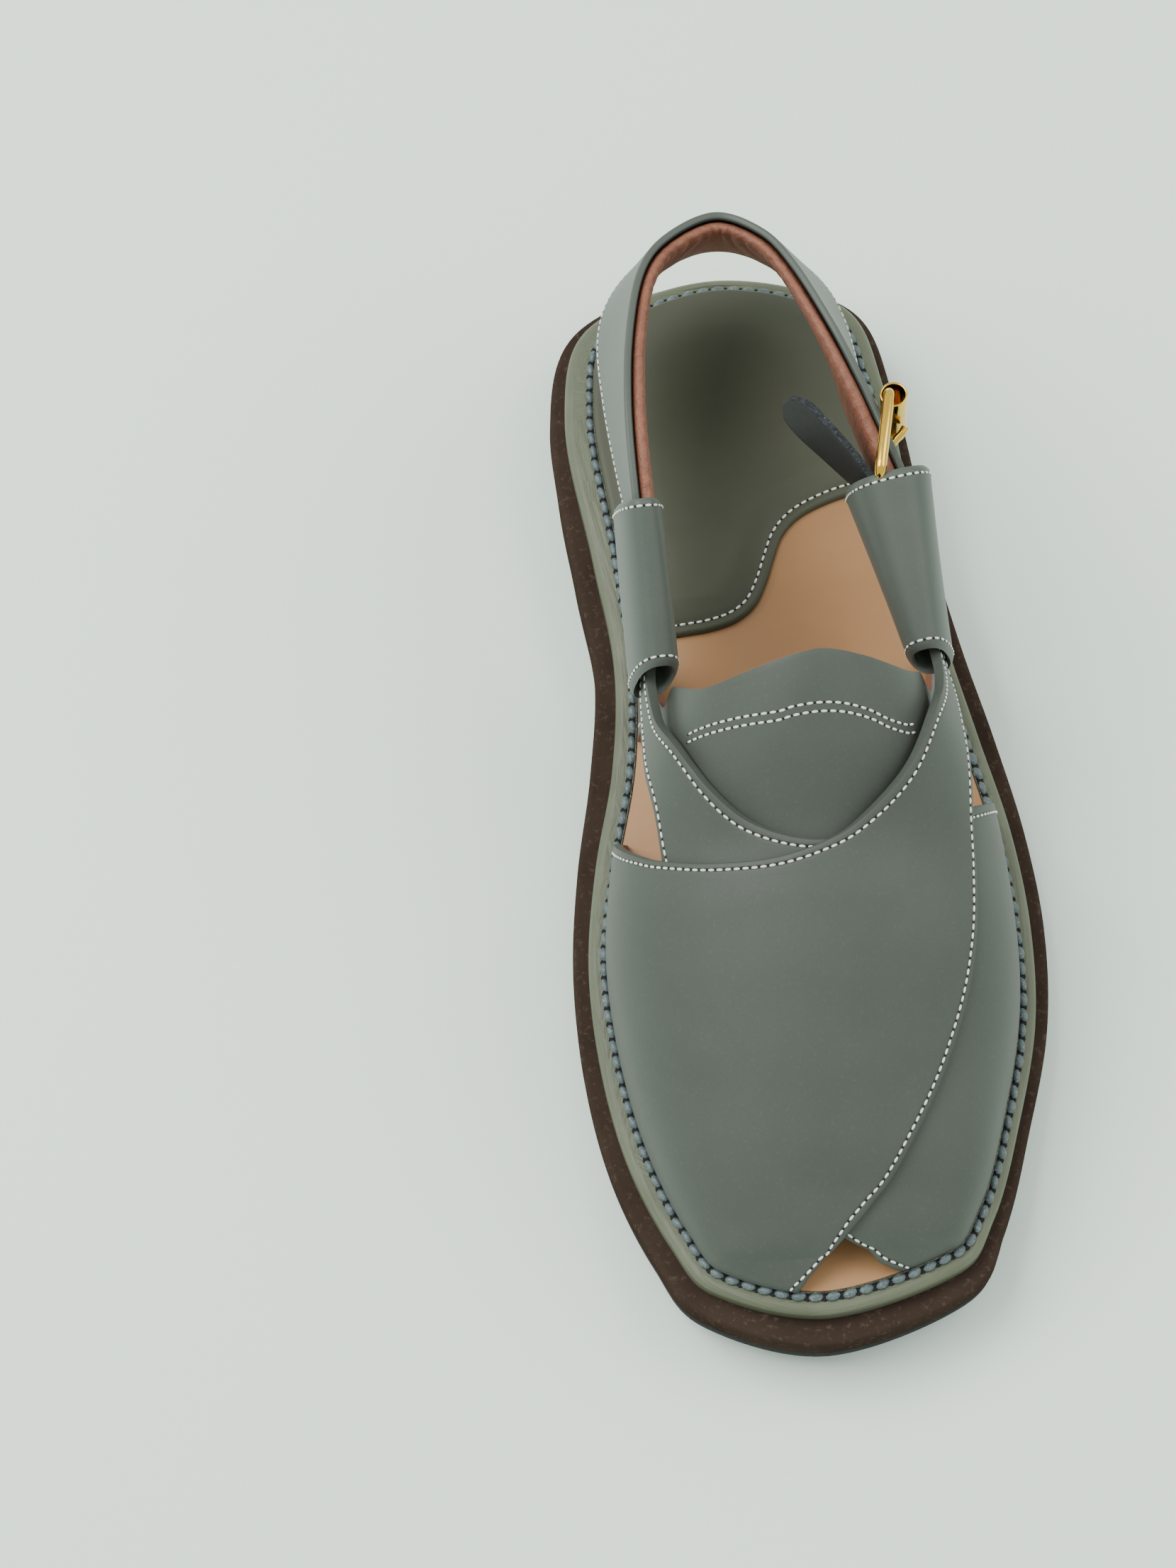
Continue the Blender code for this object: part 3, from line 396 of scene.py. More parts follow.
@dataclass(frozen=True)
class Finish:
    """A dressed surface: colour with its shade, gloss, and relief at real sizes."""

    name: str
    colour: str
    shade: str
    roughness: float
    grain_mm: float = 0.5
    grain_depth_mm: float = 0.02
    cloud_mm: float = 22.0
    cloud_share: float = 0.5
    speck: str = ""
    speck_mm: float = 1.2
    speck_share: float = 0.0
    crease_along_mm: float = 0.0
    crease_across_mm: float = 0.0
    crease_depth_mm: float = 0.0
    fold_depth_mm: float = 0.0
    metallic: float = 0.0
    specular: float = 0.5
    sheen: float = 0.0
    gloss_swing: float = 0.07

    def build(self) -> bpy.types.Material:
        """Make the material, with its patterns on Object coordinates and on the piece's UVs."""
        made = bpy.data.materials.new(self.name)
        made.use_nodes = True
        tree = made.node_tree
        shader = tree.nodes["Principled BSDF"]
        shader.inputs["Metallic"].default_value = self.metallic
        shader.inputs["Specular IOR Level"].default_value = self.specular
        shader.inputs["Sheen Weight"].default_value = self.sheen
        place = add(tree, "TexCoord").outputs["Object"]
        cloud = add(tree, "TexNoise", {"Vector": place, "Scale": 1.0 / (self.cloud_mm * MM),
                                       "Detail": 3.0, "Roughness": 0.6})
        spread = add(tree, "MapRange", {"Value": cloud.outputs["Fac"], "From Min": 0.35,
                                        "From Max": 0.65, "To Max": self.cloud_share})
        tone = add(tree, "Mix", {"Factor": spread.outputs["Result"], MIX_A: linear(self.colour),
                                 MIX_B: linear(self.shade)}, data_type="RGBA")
        colour = tone.outputs[MIX_COLOUR]
        grain = add(tree, "TexNoise", {"Vector": place, "Scale": 1.0 / (self.grain_mm * MM),
                                       "Detail": 4.0, "Roughness": 0.6})
        if self.speck:
            flecks = add(tree, "TexNoise", {"Vector": place, "Scale": 1.0 / (self.speck_mm * MM),
                                            "Detail": 2.0, "Roughness": 0.7})
            cut = add(tree, "MapRange", {"Value": flecks.outputs["Fac"], "From Min": 0.56,
                                         "From Max": 0.72, "To Max": self.speck_share})
            worn = add(tree, "Mix", {"Factor": cut.outputs["Result"], MIX_A: colour,
                                     MIX_B: linear(self.speck)}, data_type="RGBA")
            colour = worn.outputs[MIX_COLOUR]
        gloss = add(tree, "MapRange", {"Value": grain.outputs["Fac"],
                                       "To Min": self.roughness - self.gloss_swing,
                                       "To Max": self.roughness + self.gloss_swing})
        tree.links.new(gloss.outputs["Result"], shader.inputs["Roughness"])
        tree.links.new(colour, shader.inputs["Base Color"])
        relief = add(tree, "Bump", {"Height": grain.outputs["Fac"], "Strength": 1.0,
                                    "Distance": self.grain_depth_mm * MM})
        if self.crease_depth_mm:
            chart = add(tree, "UVMap", uv_map="real_mm").outputs["UV"]
            stretched = add(tree, "Mapping", {"Vector": chart, "Scale":
                                              (1.0 / self.crease_along_mm,
                                               1.0 / self.crease_across_mm, 1.0)})
            crease = add(tree, "TexNoise", {"Vector": stretched.outputs["Vector"], "Scale": 1.0,
                                            "Detail": 3.0, "Roughness": 0.55, "Distortion": 0.4})
            relief = add(tree, "Bump", {"Height": crease.outputs["Fac"], "Strength": 1.0,
                                        "Distance": self.crease_depth_mm * MM,
                                        "Normal": relief.outputs["Normal"]})
        if self.fold_depth_mm:
            edge = add(tree, "Attribute", attribute_name="edge_mm").outputs["Fac"]
            way = add(tree, "MapRange", {"Value": edge, "From Max": EDGE_REACH_MM})
            hollow = add(tree, "FloatCurve", {"Value": way.outputs["Result"]})
            curve = hollow.mapping.curves[0]
            for x, y in ((0.12, 0.85), (0.28, 1.0), (0.42, 0.35), (0.56, 0.72), (0.8, 0.8)):
                curve.points.new(x, y)
            curve.points[0].location = (0.0, 0.2)
            curve.points[-1].location = (1.0, 0.8)
            hollow.mapping.update()
            relief = add(tree, "Bump", {"Height": hollow.outputs["Value"], "Strength": 1.0,
                                        "Distance": self.fold_depth_mm * MM,
                                        "Normal": relief.outputs["Normal"]})
        tree.links.new(relief.outputs["Normal"], shader.inputs["Normal"])
        return made


class Finishes:
    """Every finish of the shoe, made once."""

    def __init__(self) -> None:
        # Waxed nubuck: buffed grain leather, matte with a soft broad highlight
        self.nubuck = Finish("waxed_nubuck", "#464C45", "#3F453E", 0.54, 0.35, 0.012, 30.0, 0.6,
                             "#8B9086", 0.9, 0.05, fold_depth_mm=0.6, specular=0.38,
                             sheen=0.03).build()
        # The same nubuck drawn tight over the heel strap and the sleeves: smoother, a touch bluer,
        # and with painted light in a lighter tone than the upper's
        self.smooth_nubuck_painted_light = Finish("drawn_nubuck_painted_light", "#4E554E", "#474E48", 0.48, 0.35, 0.010, 26.0,
                                    0.6, "#8B9086", 0.9, 0.04, specular=0.38, sheen=0.03).build()
        # Skived strip leather over the rand's core: drawn tight, so it creases lengthwise
        self.rand = Finish("rand_strip_leather", "#646956", "#585D4A", 0.45, 0.5, 0.015, 16.0,
                           0.7, crease_along_mm=16.0, crease_across_mm=1.1,
                           crease_depth_mm=0.28, specular=0.35).build()
        # Vegetable-tanned insole: smooth grain, slightly polished
        self.tan = Finish("vegetable_tan_insole", "#A87F57", "#99704A", 0.46, 0.4, 0.01, 30.0,
                          0.5, specular=0.3).build()
        # Padded sock leather: coated grain with a low gloss
        self.sock = Finish("coated_sock_leather", "#4A4D3F", "#444739", 0.50, 0.45, 0.012, 26.0,
                           0.5, specular=0.3).build()
        # Pigment-dyed sheepskin lining: soft, puckered where it turns over the foam
        self.lining = Finish("sheepskin_lining", "#86543F", "#704433", 0.55, 0.6, 0.03, 6.0, 0.6,
                             "#5E382B", 1.0, 0.35, crease_along_mm=1.5, crease_across_mm=6.0,
                             crease_depth_mm=0.5).build()
        # Sheet foam of the midsole: ground edge, scuffed and dusty
        self.foam = Finish("eva_foam_edge", "#3D322B", "#302722", 0.46, 0.7, 0.03, 14.0, 0.6,
                           "#6B5A50", 1.6, 0.30, crease_along_mm=30.0, crease_across_mm=1.4,
                           crease_depth_mm=0.12, specular=0.0).build()
        # Vulcanised rubber sheet
        self.rubber = Finish("vulcanised_rubber", "#14161A", "#0E1013", 0.60, 0.8, 0.03, 12.0, 0.5,
                             "#34373A", 1.4, 0.2, specular=0.1).build()
        # Waxed braided cord of the welt seam
        self.cord = Finish("waxed_welt_cord", "#5B686A", "#434F53", 0.42, 0.35, 0.05, 2.2, 0.7,
                           "#9DAFB2", 0.6, 0.5).build()
        # Bonded polyester sewing thread
        self.thread = Finish("bonded_polyester_thread", "#E2E4DA", "#C9CCC2", 0.5, 0.2,
                             0.03, 3.0, 0.5).build()
        # Awl holes and the slot under the cord: raw leather in deep shade
        self.hole = Finish("awl_hole_shade", "#0C0D0C", "#070807", 0.85).build()
        # Raw cut edge of leather: pale fibres over dark tones, which are painted shade along the
        # cord's inner side
        self.raw = Finish("raw_edge_painted_shade", "#5F5F51", "#34352D", 0.8, 0.3, 0.12, 1.6, 1.0,
                          "#C3C0AC", 0.5, 0.6).build()
        # Gilt brass: polished plate
        self.gilt = Finish("gilt_brass", "#E9BE55", "#DDAE45", 0.14, 2.0, 0.004, 8.0, 0.4,
                           metallic=1.0).build()
        # Black strap leather of the buckle's tab
        self.black = Finish("black_strap_leather", "#17181B", "#101113", 0.45, 0.5, 0.03, 8.0, 0.5,
                            "#3E3F42", 1.0, 0.3).build()
        # Cut edge of that strap: frayed fibres, dyed through
        self.cut = Finish("frayed_leather_edge", "#2A2F36", "#0C0D0F", 0.8, 0.3, 0.25, 1.4, 1.0,
                          "#59616B", 0.5, 0.7).build()
        # Dark inner face of the heel strap's nubuck, its flesh side
        # Its darkness is painted shade: a darker copy of the drawn nubuck
        self.inner_face_shade = Finish("inner_face_painted_shade", "#3C4039", "#2C2F2A", 0.85, 0.5, 0.05, 5.0,
                            0.6).build()


@dataclass
class Sole:
    """Sizes of the sole and the lines and heights that every layer follows."""

    length: float = 0.2915
    width: float = 0.1184
    seam_margin: float = 0.0085
    outsole: float = 0.0045
    midsole: float = 0.0082
    rand: float = 0.0054
    insole: float = 0.0012
    heel_rise: float = 0.008
    toe_spring: float = 0.0105
    waist_lift: float = 0.0012
    gap: float = 0.0003
    outline_points: int = 1600
    heel_points: int = 300
    second_turn: int = 1100

    def along(self, y: Array) -> Array:
        """Share of the sole's length at y, 0 at the heel."""
        return 0.5 - y / self.length

    def toe_lift(self, y: Array) -> Array:
        """Rise of the underside towards the toe."""
        share = np.maximum(self.along(y) - 0.69, 0.0) / 0.31
        return self.toe_spring * share * share

    def floor(self, y: Array) -> Array:
        """Underside of the outsole."""
        along = self.along(y)
        waist = smooth((along - 0.27) / 0.09) * smooth((0.56 - along) / 0.09)
        return self.toe_lift(y) + self.waist_lift * waist

    def outsole_top(self, y: Array) -> Array:
        """Top of the outsole."""
        return self.floor(y) + self.outsole

    def midsole_top(self, y: Array) -> Array:
        """Top of the midsole."""
        wedge = self.heel_rise * smooth((0.60 - self.along(y)) / 0.42)
        return self.outsole + self.midsole + self.toe_lift(y) + wedge

    def rand_top(self, y: Array) -> Array:
        """Top of the rand."""
        return self.midsole_top(y) + self.gap + self.rand

    def insole_top(self, y: Array) -> Array:
        """Top of the insole."""
        return self.rand_top(y) + self.gap + self.insole

    def half(self, side: str) -> list[tuple[float, ...]]:
        """Edge on one side, from heel to toe: x, y, seam margin and rand share."""
        rows = []
        for row in SOLE_PLAN:
            value = dict(zip(PLAN_COLUMNS, row))
            rows.append((value[side] * self.width, (0.5 - value["along"]) * self.length,
                         value[side + "_margin"] * self.seam_margin, value["rand"]))
        return rows

    def halves(self, count: int) -> list[tuple[Array, Array]]:
        """Both halves of the edge from heel to toe, with their inward directions.

        Args:
            count: points on each half.

        Returns:
            A pair for the medial half and one for the lateral half.
        """
        medial, lateral = self.half("medial"), self.half("lateral")
        ring = medial + lateral[-2:0:-1]
        # The outline passes the heel's middle twice: near its start and after its second turn
        dense = spline([ring[-1]] + ring + [ring[0], ring[1]], self.outline_points)
        heel_point, toe_point = np.array(ring[0][:2]), np.array(medial[-1][:2])
        to_heel = np.linalg.norm(dense[:, :2] - heel_point, axis=1)
        heel = int(np.argmin(to_heel[:self.heel_points]))
        toe = int(np.argmin(np.linalg.norm(dense[:, :2] - toe_point, axis=1)))
        back = self.second_turn + int(np.argmin(to_heel[self.second_turn:]))
        found = []
        for first in (heel, back):
            step = 1 if toe > first else -1
            half = resample(dense[np.arange(first, toe + step, step)], count, 2)
            tangent = np.gradient(half[:, :2], axis=0)
            tangent[0] = (-step, 0.0)
            tangent[-1] = (step, 0.0)
            tangent = unit(tangent)
            found.append((half, np.column_stack([-tangent[:, 1], tangent[:, 0]]) * step))
        return found

    def sides(self, count: int, line: Line, extra: float = 0.0) -> list[Array]:
        """Both halves of a line.

        Args:
            count: points on each half.
            line: which line it is.
            extra: how far it is moved in.

        Returns:
            The medial half and the lateral one, from heel to toe.
        """
        made = []
        for half, inward in self.halves(count):
            share = {Line.EDGE: 0.0, Line.SEAM: 1.0, Line.RAND: 1.0 - half[:, 3]}[line]
            depth = half[:, 2] * share + extra
            made.append(half[:, :2] + inward * depth[:, None])
        made[1][0] = made[0][0]
        made[1][-1] = made[0][-1]
        return made

    def ring(self, count: int, line: Line, extra: float = 0.0) -> Array:
        """Closed line round the sole, without its last point, as sides() describes it."""
        medial, lateral = self.sides(count, line, extra)
        return np.vstack([medial, lateral[-2:0:-1]])


@dataclass
class Last:
    """Shape of the foot above the seam, in sections from heel to toe."""

    sole: Sole
    instep: float = 0.080
    inset: float = 0.0034
    bulge: float = 0.07
    seat_air: float = 0.0007
    sections: int = 201
    ridge_points: int = 400
    probe: float = 0.004

    def __post_init__(self) -> None:
        self.medial, self.lateral = self.sole.sides(self.sections, Line.SEAM, self.inset)
        self.stations = np.linspace(0.0, 1.0, self.sections)
        self.ridge = spline(LAST_RIDGE, self.ridge_points)

    def raw(self, station: Array, around: Array) -> Array:
        """Points on the last: around is 0 at the medial seam and 1 at the lateral one."""
        feet = [sample(station, self.stations, side) for side in (self.medial, self.lateral)]
        turn = np.pi * around
        side = np.cos(turn)
        fall = np.interp(station, self.ridge[:, 0], self.ridge[:, 2])
        side = np.where(side < 0.0, side * (1.0 - fall + fall * side * side), side)
        side = side * (1.0 + self.bulge * np.sin(2.0 * turn) ** 2)
        plan = feet[0] + (feet[1] - feet[0]) * (0.5 - 0.5 * side)[:, None]
        height = np.interp(station, self.ridge[:, 0], self.ridge[:, 1]) * self.instep
        base = self.sole.insole_top(plan[:, 1]) + self.seat_air
        return np.column_stack([plan, base + height * np.sin(turn)])

    def normal(self, station: Array, around: Array) -> Array:
        """Outward directions."""
        step = self.probe
        forward = (self.raw(np.minimum(station + step, 0.999), around)
                   - self.raw(np.maximum(station - step, 0.0), around))
        across = self.raw(station, around + step) - self.raw(station, around - step)
        return unit(np.cross(forward, across))

    def point(self, station: Array, around: Array, lift: Array | float) -> Array:
        """Points over the last.

        Args:
            station: places from heel to toe.
            around: shares from the medial seam to the lateral one.
            lift: heights over the last.

        Returns:
            The points.
        """
        lift = np.broadcast_to(lift, np.shape(station))
        return self.raw(station, around) + self.normal(station, around) * lift[:, None]


def bent_grid(rows: int, columns: int, place: Place, run_mm: float = 100.0,
              width_mm: float = 40.0, edge: Place | None = None) -> bmesh.types.BMesh:
    """Grid bent into place, with its real size as UVs.

    Args:
        rows: segments along u.
        columns: segments along v.
        place: points for arrays of u and v, both from 0 to 1.
        run_mm: length that u stands for.
        width_mm: length that v stands for.
        edge: distance to the nearest stitched edge in mm, for arrays of u and v.

    Returns:
        The bent mesh, merged where it closes.
    """
    bm = bmesh.new()
    bmesh.ops.create_grid(bm, x_segments=rows, y_segments=columns, size=0.5)
    flat = np.array([vert.co[:2] for vert in bm.verts]) + 0.5
    chart = bm.loops.layers.uv.new("real_mm")
    for face in bm.faces:
        for loop in face.loops:
            u, v = flat[loop.vert.index]
            loop[chart].uv = (u * run_mm, v * width_mm)
    if edge is not None:
        layer = bm.verts.layers.float.new("edge_mm")
        for vert, value in zip(bm.verts, edge(flat[:, 0], flat[:, 1])):
            vert[layer] = value
    for vert, point in zip(bm.verts, place(flat[:, 0], flat[:, 1])):
        vert.co = point
    bmesh.ops.remove_doubles(bm, verts=bm.verts, dist=WELD)
    return bm


def layer(ring: Array, bottom: Height, top: Height, radius: float, steps: int,
          flats: Sequence[float] = ()) -> bmesh.types.BMesh:
    """Flat layer cut to a ring, with a rounded top edge.

    Args:
        ring: closed outline in plan.
        bottom: height of the underside at y.
        top: height of the upper side at y.
        radius: radius of the top edge.
        steps: rings on that radius.
        flats: widths of further rings on the flat top.

    Returns:
        The closed layer.
    """
    bm = bmesh.new()
    outline = bm.faces.new([bm.verts.new((x, y, -1.0)) for x, y in ring])
    made = bmesh.ops.extrude_face_region(bm, geom=[outline])["geom"]
    crown = next(item for item in made if isinstance(item, bmesh.types.BMFace))
    for vert in crown.verts:
        vert.co.z = -radius
    before = 0.0
    for turn in np.linspace(0.0, np.pi * 0.5, steps + 1)[1:]:
        inset = radius * (1.0 - np.cos(turn))
        bmesh.ops.inset_region(bm, faces=[crown], thickness=inset - before,
                               use_even_offset=True, use_boundary=True)
        for vert in crown.verts:
            vert.co.z = -radius * (1.0 - np.sin(turn))
        before = inset
    for width in flats:
        bmesh.ops.inset_region(bm, faces=[crown], thickness=width, use_even_offset=False,
                               use_boundary=True)
    low, high = ring[:, 1].min(), ring[:, 1].max()
    for y in np.arange(low + LAYER_END, high - LAYER_END, LAYER_CUT):
        bmesh.ops.bisect_plane(bm, geom=bm.verts[:] + bm.edges[:] + bm.faces[:],
                               plane_co=(0.0, y, 0.0), plane_no=(0.0, 1.0, 0.0))
    for vert in bm.verts:
        x, y, drop = vert.co
        vert.co.z = float(bottom(y)) if drop < -0.5 else float(top(y)) + drop
    bmesh.ops.recalc_face_normals(bm, faces=bm.faces)
    return bm


def girth_chart(bm: bmesh.types.BMesh, ring: Array) -> None:
    """UVs of a layer's rim in mm: run round the ring, and way in and up.

    Args:
        bm: the layer.
        ring: the ring that it was cut to.
    """
    steps = np.linalg.norm(np.diff(closed(ring), axis=0), axis=1)
    run = np.concatenate([[0.0], np.cumsum(steps)])
    chart = bm.loops.layers.uv.new("real_mm")
    for face in bm.faces:
        centre = np.array(face.calc_center_median()[:2])
        near = int(np.argmin(np.linalg.norm(ring - centre, axis=1)))
        for loop in face.loops:
            point = np.array(loop.vert.co[:2])
            window = np.arange(near - CHART_REACH, near + CHART_REACH + 1) % len(ring)
            spot = int(window[np.argmin(np.linalg.norm(ring[window] - point, axis=1))])
            along = run[spot]
            if spot < CHART_REACH and near > len(ring) - CHART_REACH - 2:
                along += run[-1]
            way = np.linalg.norm(ring[spot] - point) + loop.vert.co.z
            loop[chart].uv = (along / MM, way / MM)


@dataclass
class Bench:
    """Keeps the finishes and turns finished meshes into pieces of the shoe."""

    finishes: Finishes
    pieces: list[str] = field(default_factory=list)

    def piece(self, name: str, bm: bmesh.types.BMesh, finishes: Sequence[bpy.types.Material],
              slot: Slot, nodes: Sequence[str] = (), sharp: float = 40.0) -> bpy.types.Object:
        """Make a piece that rides on the shoe.

        Args:
            name: the piece's name.
            bm: its mesh, which is freed.
            finishes: materials by face index.
            slot: the record's slot that it stands for; not used.
            nodes: CAD nodes that it replaces.
            sharp: angle in degrees past which an edge stays sharp.

        Returns:
            The piece's object.
        """
        mesh = meshed(name, bm)
        mesh.shade_smooth()
        mesh.set_sharp_from_angle(angle=np.radians(sharp))
        made = placed(name, mesh)
        for finish in finishes:
            made.data.materials.append(finish)
        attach(made, "root")
        if nodes:
            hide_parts(*nodes)
        self.pieces.append(name)
        LOG.info("%s: %d faces", name, len(mesh.polygons))
        return made

    def leather(self, made: bpy.types.Object, thickness: float, lining: int = 1,
                rim: int = 0, round_mm: float = 0.8) -> None:
        """Give a bent grid its thickness and its rounded rim, on live modifiers.

        Args:
            made: the piece.
            thickness: how thick it gets, outwards.
            lining: how many places on in its materials the inner face's one is.
            rim: how many places on the rim's one is.
            round_mm: radius of the rim.
        """
        wall = made.modifiers.new("leather", "SOLIDIFY")
        wall.thickness = thickness
        wall.offset = 1.0
        wall.use_even_offset = True
        wall.material_offset = lining
        wall.material_offset_rim = rim
        edge = made.modifiers.new("rolled rim", "BEVEL")
        edge.width = round_mm * MM
        edge.segments = 3
        edge.limit_method = "ANGLE"
        edge.angle_limit = np.radians(60.0)
        edge.harden_normals = False


def ball(around: int, rings: int) -> bpy.types.Mesh:
    """Ball 1 across, to be copied as a bead."""
    bm = bmesh.new()
    bmesh.ops.create_uvsphere(bm, u_segments=around, v_segments=rings, radius=0.5)
    return meshed("ball", bm)


def bead(bm: bmesh.types.BMesh, shape: bpy.types.Mesh, spot: Array,
         axes: tuple[Array, Array, Array], sizes: tuple[float, float, float]) -> None:
    """Add one bead.

    Args:
        bm: mesh that it joins.
        shape: ball that is stretched.
        spot: its middle.
        axes: its three directions, right-handed.
        sizes: its size along each.
    """
    turn = Matrix.Identity(4)
    for column, (axis, size) in enumerate(zip(axes, sizes)):
        for k in range(3):
            turn[k][column] = axis[k] * size
    turn.translation = Vector(spot)
    made = shape.copy()
    made.transform(turn)
    bm.from_mesh(made)
    bpy.data.meshes.remove(made)


@dataclass
class Seam:
    """Rows of stitches laid into the leather."""

    bench: Bench
    pitch: float = 2.15 * MM
    length: float = 1.68 * MM
    width: float = 0.66 * MM
    height: float = 0.56 * MM
    hole: tuple[float, float, float] = (0.80 * MM, 0.62 * MM, 0.24 * MM)

    def __post_init__(self) -> None:
        self.white = bmesh.new()
        self.holes = bmesh.new()
        self.grain = ball(8, 5)
        self.dot = ball(6, 4)

    def row(self, line: Array, normals: Array) -> None:
        """Lay one row of stitches.

        Args:
            line: points on the leather's face.
            normals: outward directions at those points.
        """
        count = max(int(run_of(line) / self.pitch), 1)
        both = resample(np.column_stack([line, normals]), count * 2 + 1)
        for k in range(count):
            spot = both[2 * k + 1]
            ahead = unit(both[2 * k + 2, :3] - both[2 * k, :3])
            up = unit(spot[3:])
            side = unit(np.cross(up, ahead))
            bead(self.white, self.grain, spot[:3], (ahead, side, up),
                 (self.length, self.width, self.height))
            bead(self.holes, self.dot, both[2 * k, :3], (ahead, side, up), self.hole)

    def finish(self) -> None:
        """Turn the rows into two pieces."""
        for bm in (self.white, self.holes):
            bmesh.ops.recalc_face_normals(bm, faces=bm.faces)
        self.bench.piece("white_stitches", self.white, [self.bench.finishes.thread], Slot.NUBUCK)
        self.bench.piece("stitch_holes", self.holes, [self.bench.finishes.hole], Slot.NUBUCK)


@dataclass
class SoleUnit:
    """Outsole, midsole, rand, insole, heel cover and the welt seam round them."""

    sole: Sole
    bench: Bench
    count: int = 200
    rear_undercut: float = 0.0020
    edge_round: float = 1.6 * MM
    rand_round: float = 2.3 * MM
    sheet_round: float = 0.3 * MM
    insole_inset: float = 1.3 * MM
    heel_middle: tuple[float, float] = (-0.006, 0.07)
    bead_pitch: float = 4.05 * MM
    bead_size: tuple[float, float, float] = (3.7 * MM, 2.2 * MM, 1.9 * MM)
    bead_rise: float = 0.75 * MM
    hole_size: tuple[float, float, float] = (2.0 * MM, 2.2 * MM, 0.8 * MM)
    hole_rise: float = 0.35 * MM
    slot_size: tuple[float, float] = (1.3 * MM, 0.35 * MM)
    slot_inset: float = 0.25 * MM
    slot_rise: float = 0.05 * MM
    lip_size: tuple[float, float] = (0.55 * MM, 1.9 * MM)
    lip_inset: float = 1.05 * MM
    lip_rise: float = 0.75 * MM
    lip_ragged: float = 0.16 * MM

    def pulled(self, ring: Array) -> Array:
        """Ring drawn in round the heel, where the lower layers taper."""
        share = smooth((0.25 - self.sole.along(ring[:, 1])) / 0.2)[:, None]
        return ring - unit(ring - np.array([self.heel_middle])) * self.rear_undercut * share

    def layers(self) -> None:
        """Build the flat layers."""
        sole, finishes, gap = self.sole, self.bench.finishes, self.sole.gap
        edge = sole.ring(self.count, Line.EDGE)
        lower = self.pulled(sole.ring(self.count, Line.EDGE, gap))
        bm = layer(lower, sole.floor, sole.outsole_top, self.sheet_round, 2)
        self.bench.piece("rubber_outsole", bm, [finishes.rubber], Slot.RUBBER, ["outsole"])
        bm = layer(edge, lambda y: sole.outsole_top(y) + gap, sole.midsole_top,
                   self.edge_round, 5)
        for vert in bm.verts:
            if vert.co.z < sole.outsole_top(vert.co.y) + 2.0 * gap:
                vert.co.xy = self.pulled(np.array([vert.co.xy[:]]))[0]
        girth_chart(bm, edge)
        self.bench.piece("foam_midsole", bm, [finishes.foam], Slot.FOAM, ["midsole"])
        band = sole.ring(self.count, Line.RAND)
        bm = layer(band, lambda y: sole.midsole_top(y) + gap, sole.rand_top, self.rand_round, 6)
        girth_chart(bm, band)
        self.bench.piece("rolled_rand", bm, [finishes.rand], Slot.RAND, ["rand"])
        inner = sole.ring(self.count, Line.SEAM, self.insole_inset)
        bm = layer(inner, lambda y: sole.rand_top(y) + gap, sole.insole_top, self.sheet_round, 2)
        self.bench.piece("tan_insole", bm, [finishes.tan], Slot.TAN, ["insole"])

    def welt(self) -> None:
        """Sew the cord round the rand, over its slot and beside the raw lip."""
        sole, finishes = self.sole, self.bench.finishes
        ring = closed(sole.ring(self.count * 2, Line.SEAM))
        line = np.column_stack([ring, sole.rand_top(ring[:, 1])])
        count = int(run_of(line) / self.bead_pitch)
        spots = resample(line, count * 2 + 1)
        beads, slots = bmesh.new(), bmesh.new()
        lens, dot = ball(10, 7), ball(8, 5)
        long, wide, tall = self.bead_size
        for k in range(count):
            ahead = unit(spots[2 * k + 2] - spots[2 * k])
            side = unit(np.cross(UP, ahead))
            # Hand sewing: each stitch leans and swells a little differently
            leaned = unit(ahead + side * (0.16 + 0.12 * np.sin(k * 2.7)))
            across = unit(np.cross(UP, leaned))
            swell = 1.0 + 0.09 * np.sin(k * 1.9) + 0.06 * np.sin(k * 4.3)
            bead(beads, lens, spots[2 * k + 1] + UP * self.bead_rise,
                 (leaned, across, unit(np.cross(leaned, across))), (long, wide * swell, tall))
            bead(slots, dot, spots[2 * k] + UP * self.hole_rise, (ahead, side, UP),
                 self.hole_size)
        for bm in (beads, slots):
            bmesh.ops.recalc_face_normals(bm, faces=bm.faces)
        self.bench.piece("welt_cord", beads, [finishes.cord], Slot.RAND)
        self.bench.piece("welt_holes", slots, [finishes.hole], Slot.RAND)
        self.rod("welt_slot", self.slot_inset, self.slot_rise, self.slot_size, finishes.hole)
        # Raw lip along the cord: its dark tones are painted shade, its pale flecks are fibres
        self.rod("raw_lip", self.lip_inset, self.lip_rise, self.lip_size, finishes.raw,
                 self.lip_ragged)

    def rod(self, name: str, inset: float, rise: float, sizes: tuple[float, float],
            finish: bpy.types.Material, ragged: float = 0.0) -> None:
        """Closed strip of an oval section along the seam.

        Args:
            name: the piece's name.
            inset: how far inside the seam it runs.
            rise: height of its middle over the rand.
            sizes: width and height of the section.
            finish: its material.
            ragged: how far its height wanders.
        """
        line = closed(self.sole.ring(self.count * 2, Line.SEAM, inset))
        middle = np.column_stack([line, self.sole.rand_top(line[:, 1]) + rise])
        shares = np.linspace(0.0, 1.0, len(line))
        run = unit(np.gradient(middle, axis=0))
        run[0] = run[-1] = unit(run[0] + run[-1])

        def place(u: Array, v: Array) -> Array:
            spot = sample(u, shares, middle)
            side = unit(np.cross(unit(sample(u, shares, run)), UP))
            turn = 2.0 * np.pi * v
            wander = ragged * (np.sin(u * 431.0) + np.sin(u * 1117.0) + np.sin(u * 2003.0)) / 3.0
            tall = sizes[1] * 0.5 + wander * (np.sin(turn) > 0.0)
            spot = spot + side * (np.cos(turn) * sizes[0] * 0.5)[:, None]
            spot[:, 2] += np.sin(turn) * tall
            return spot

        bm = bent_grid(len(line) - 1, 8, place, run_mm=run_of(middle) / MM, width_mm=4.0)
        bmesh.ops.recalc_face_normals(bm, faces=bm.faces)
        self.bench.piece(name, bm, [finish], Slot.RAND)


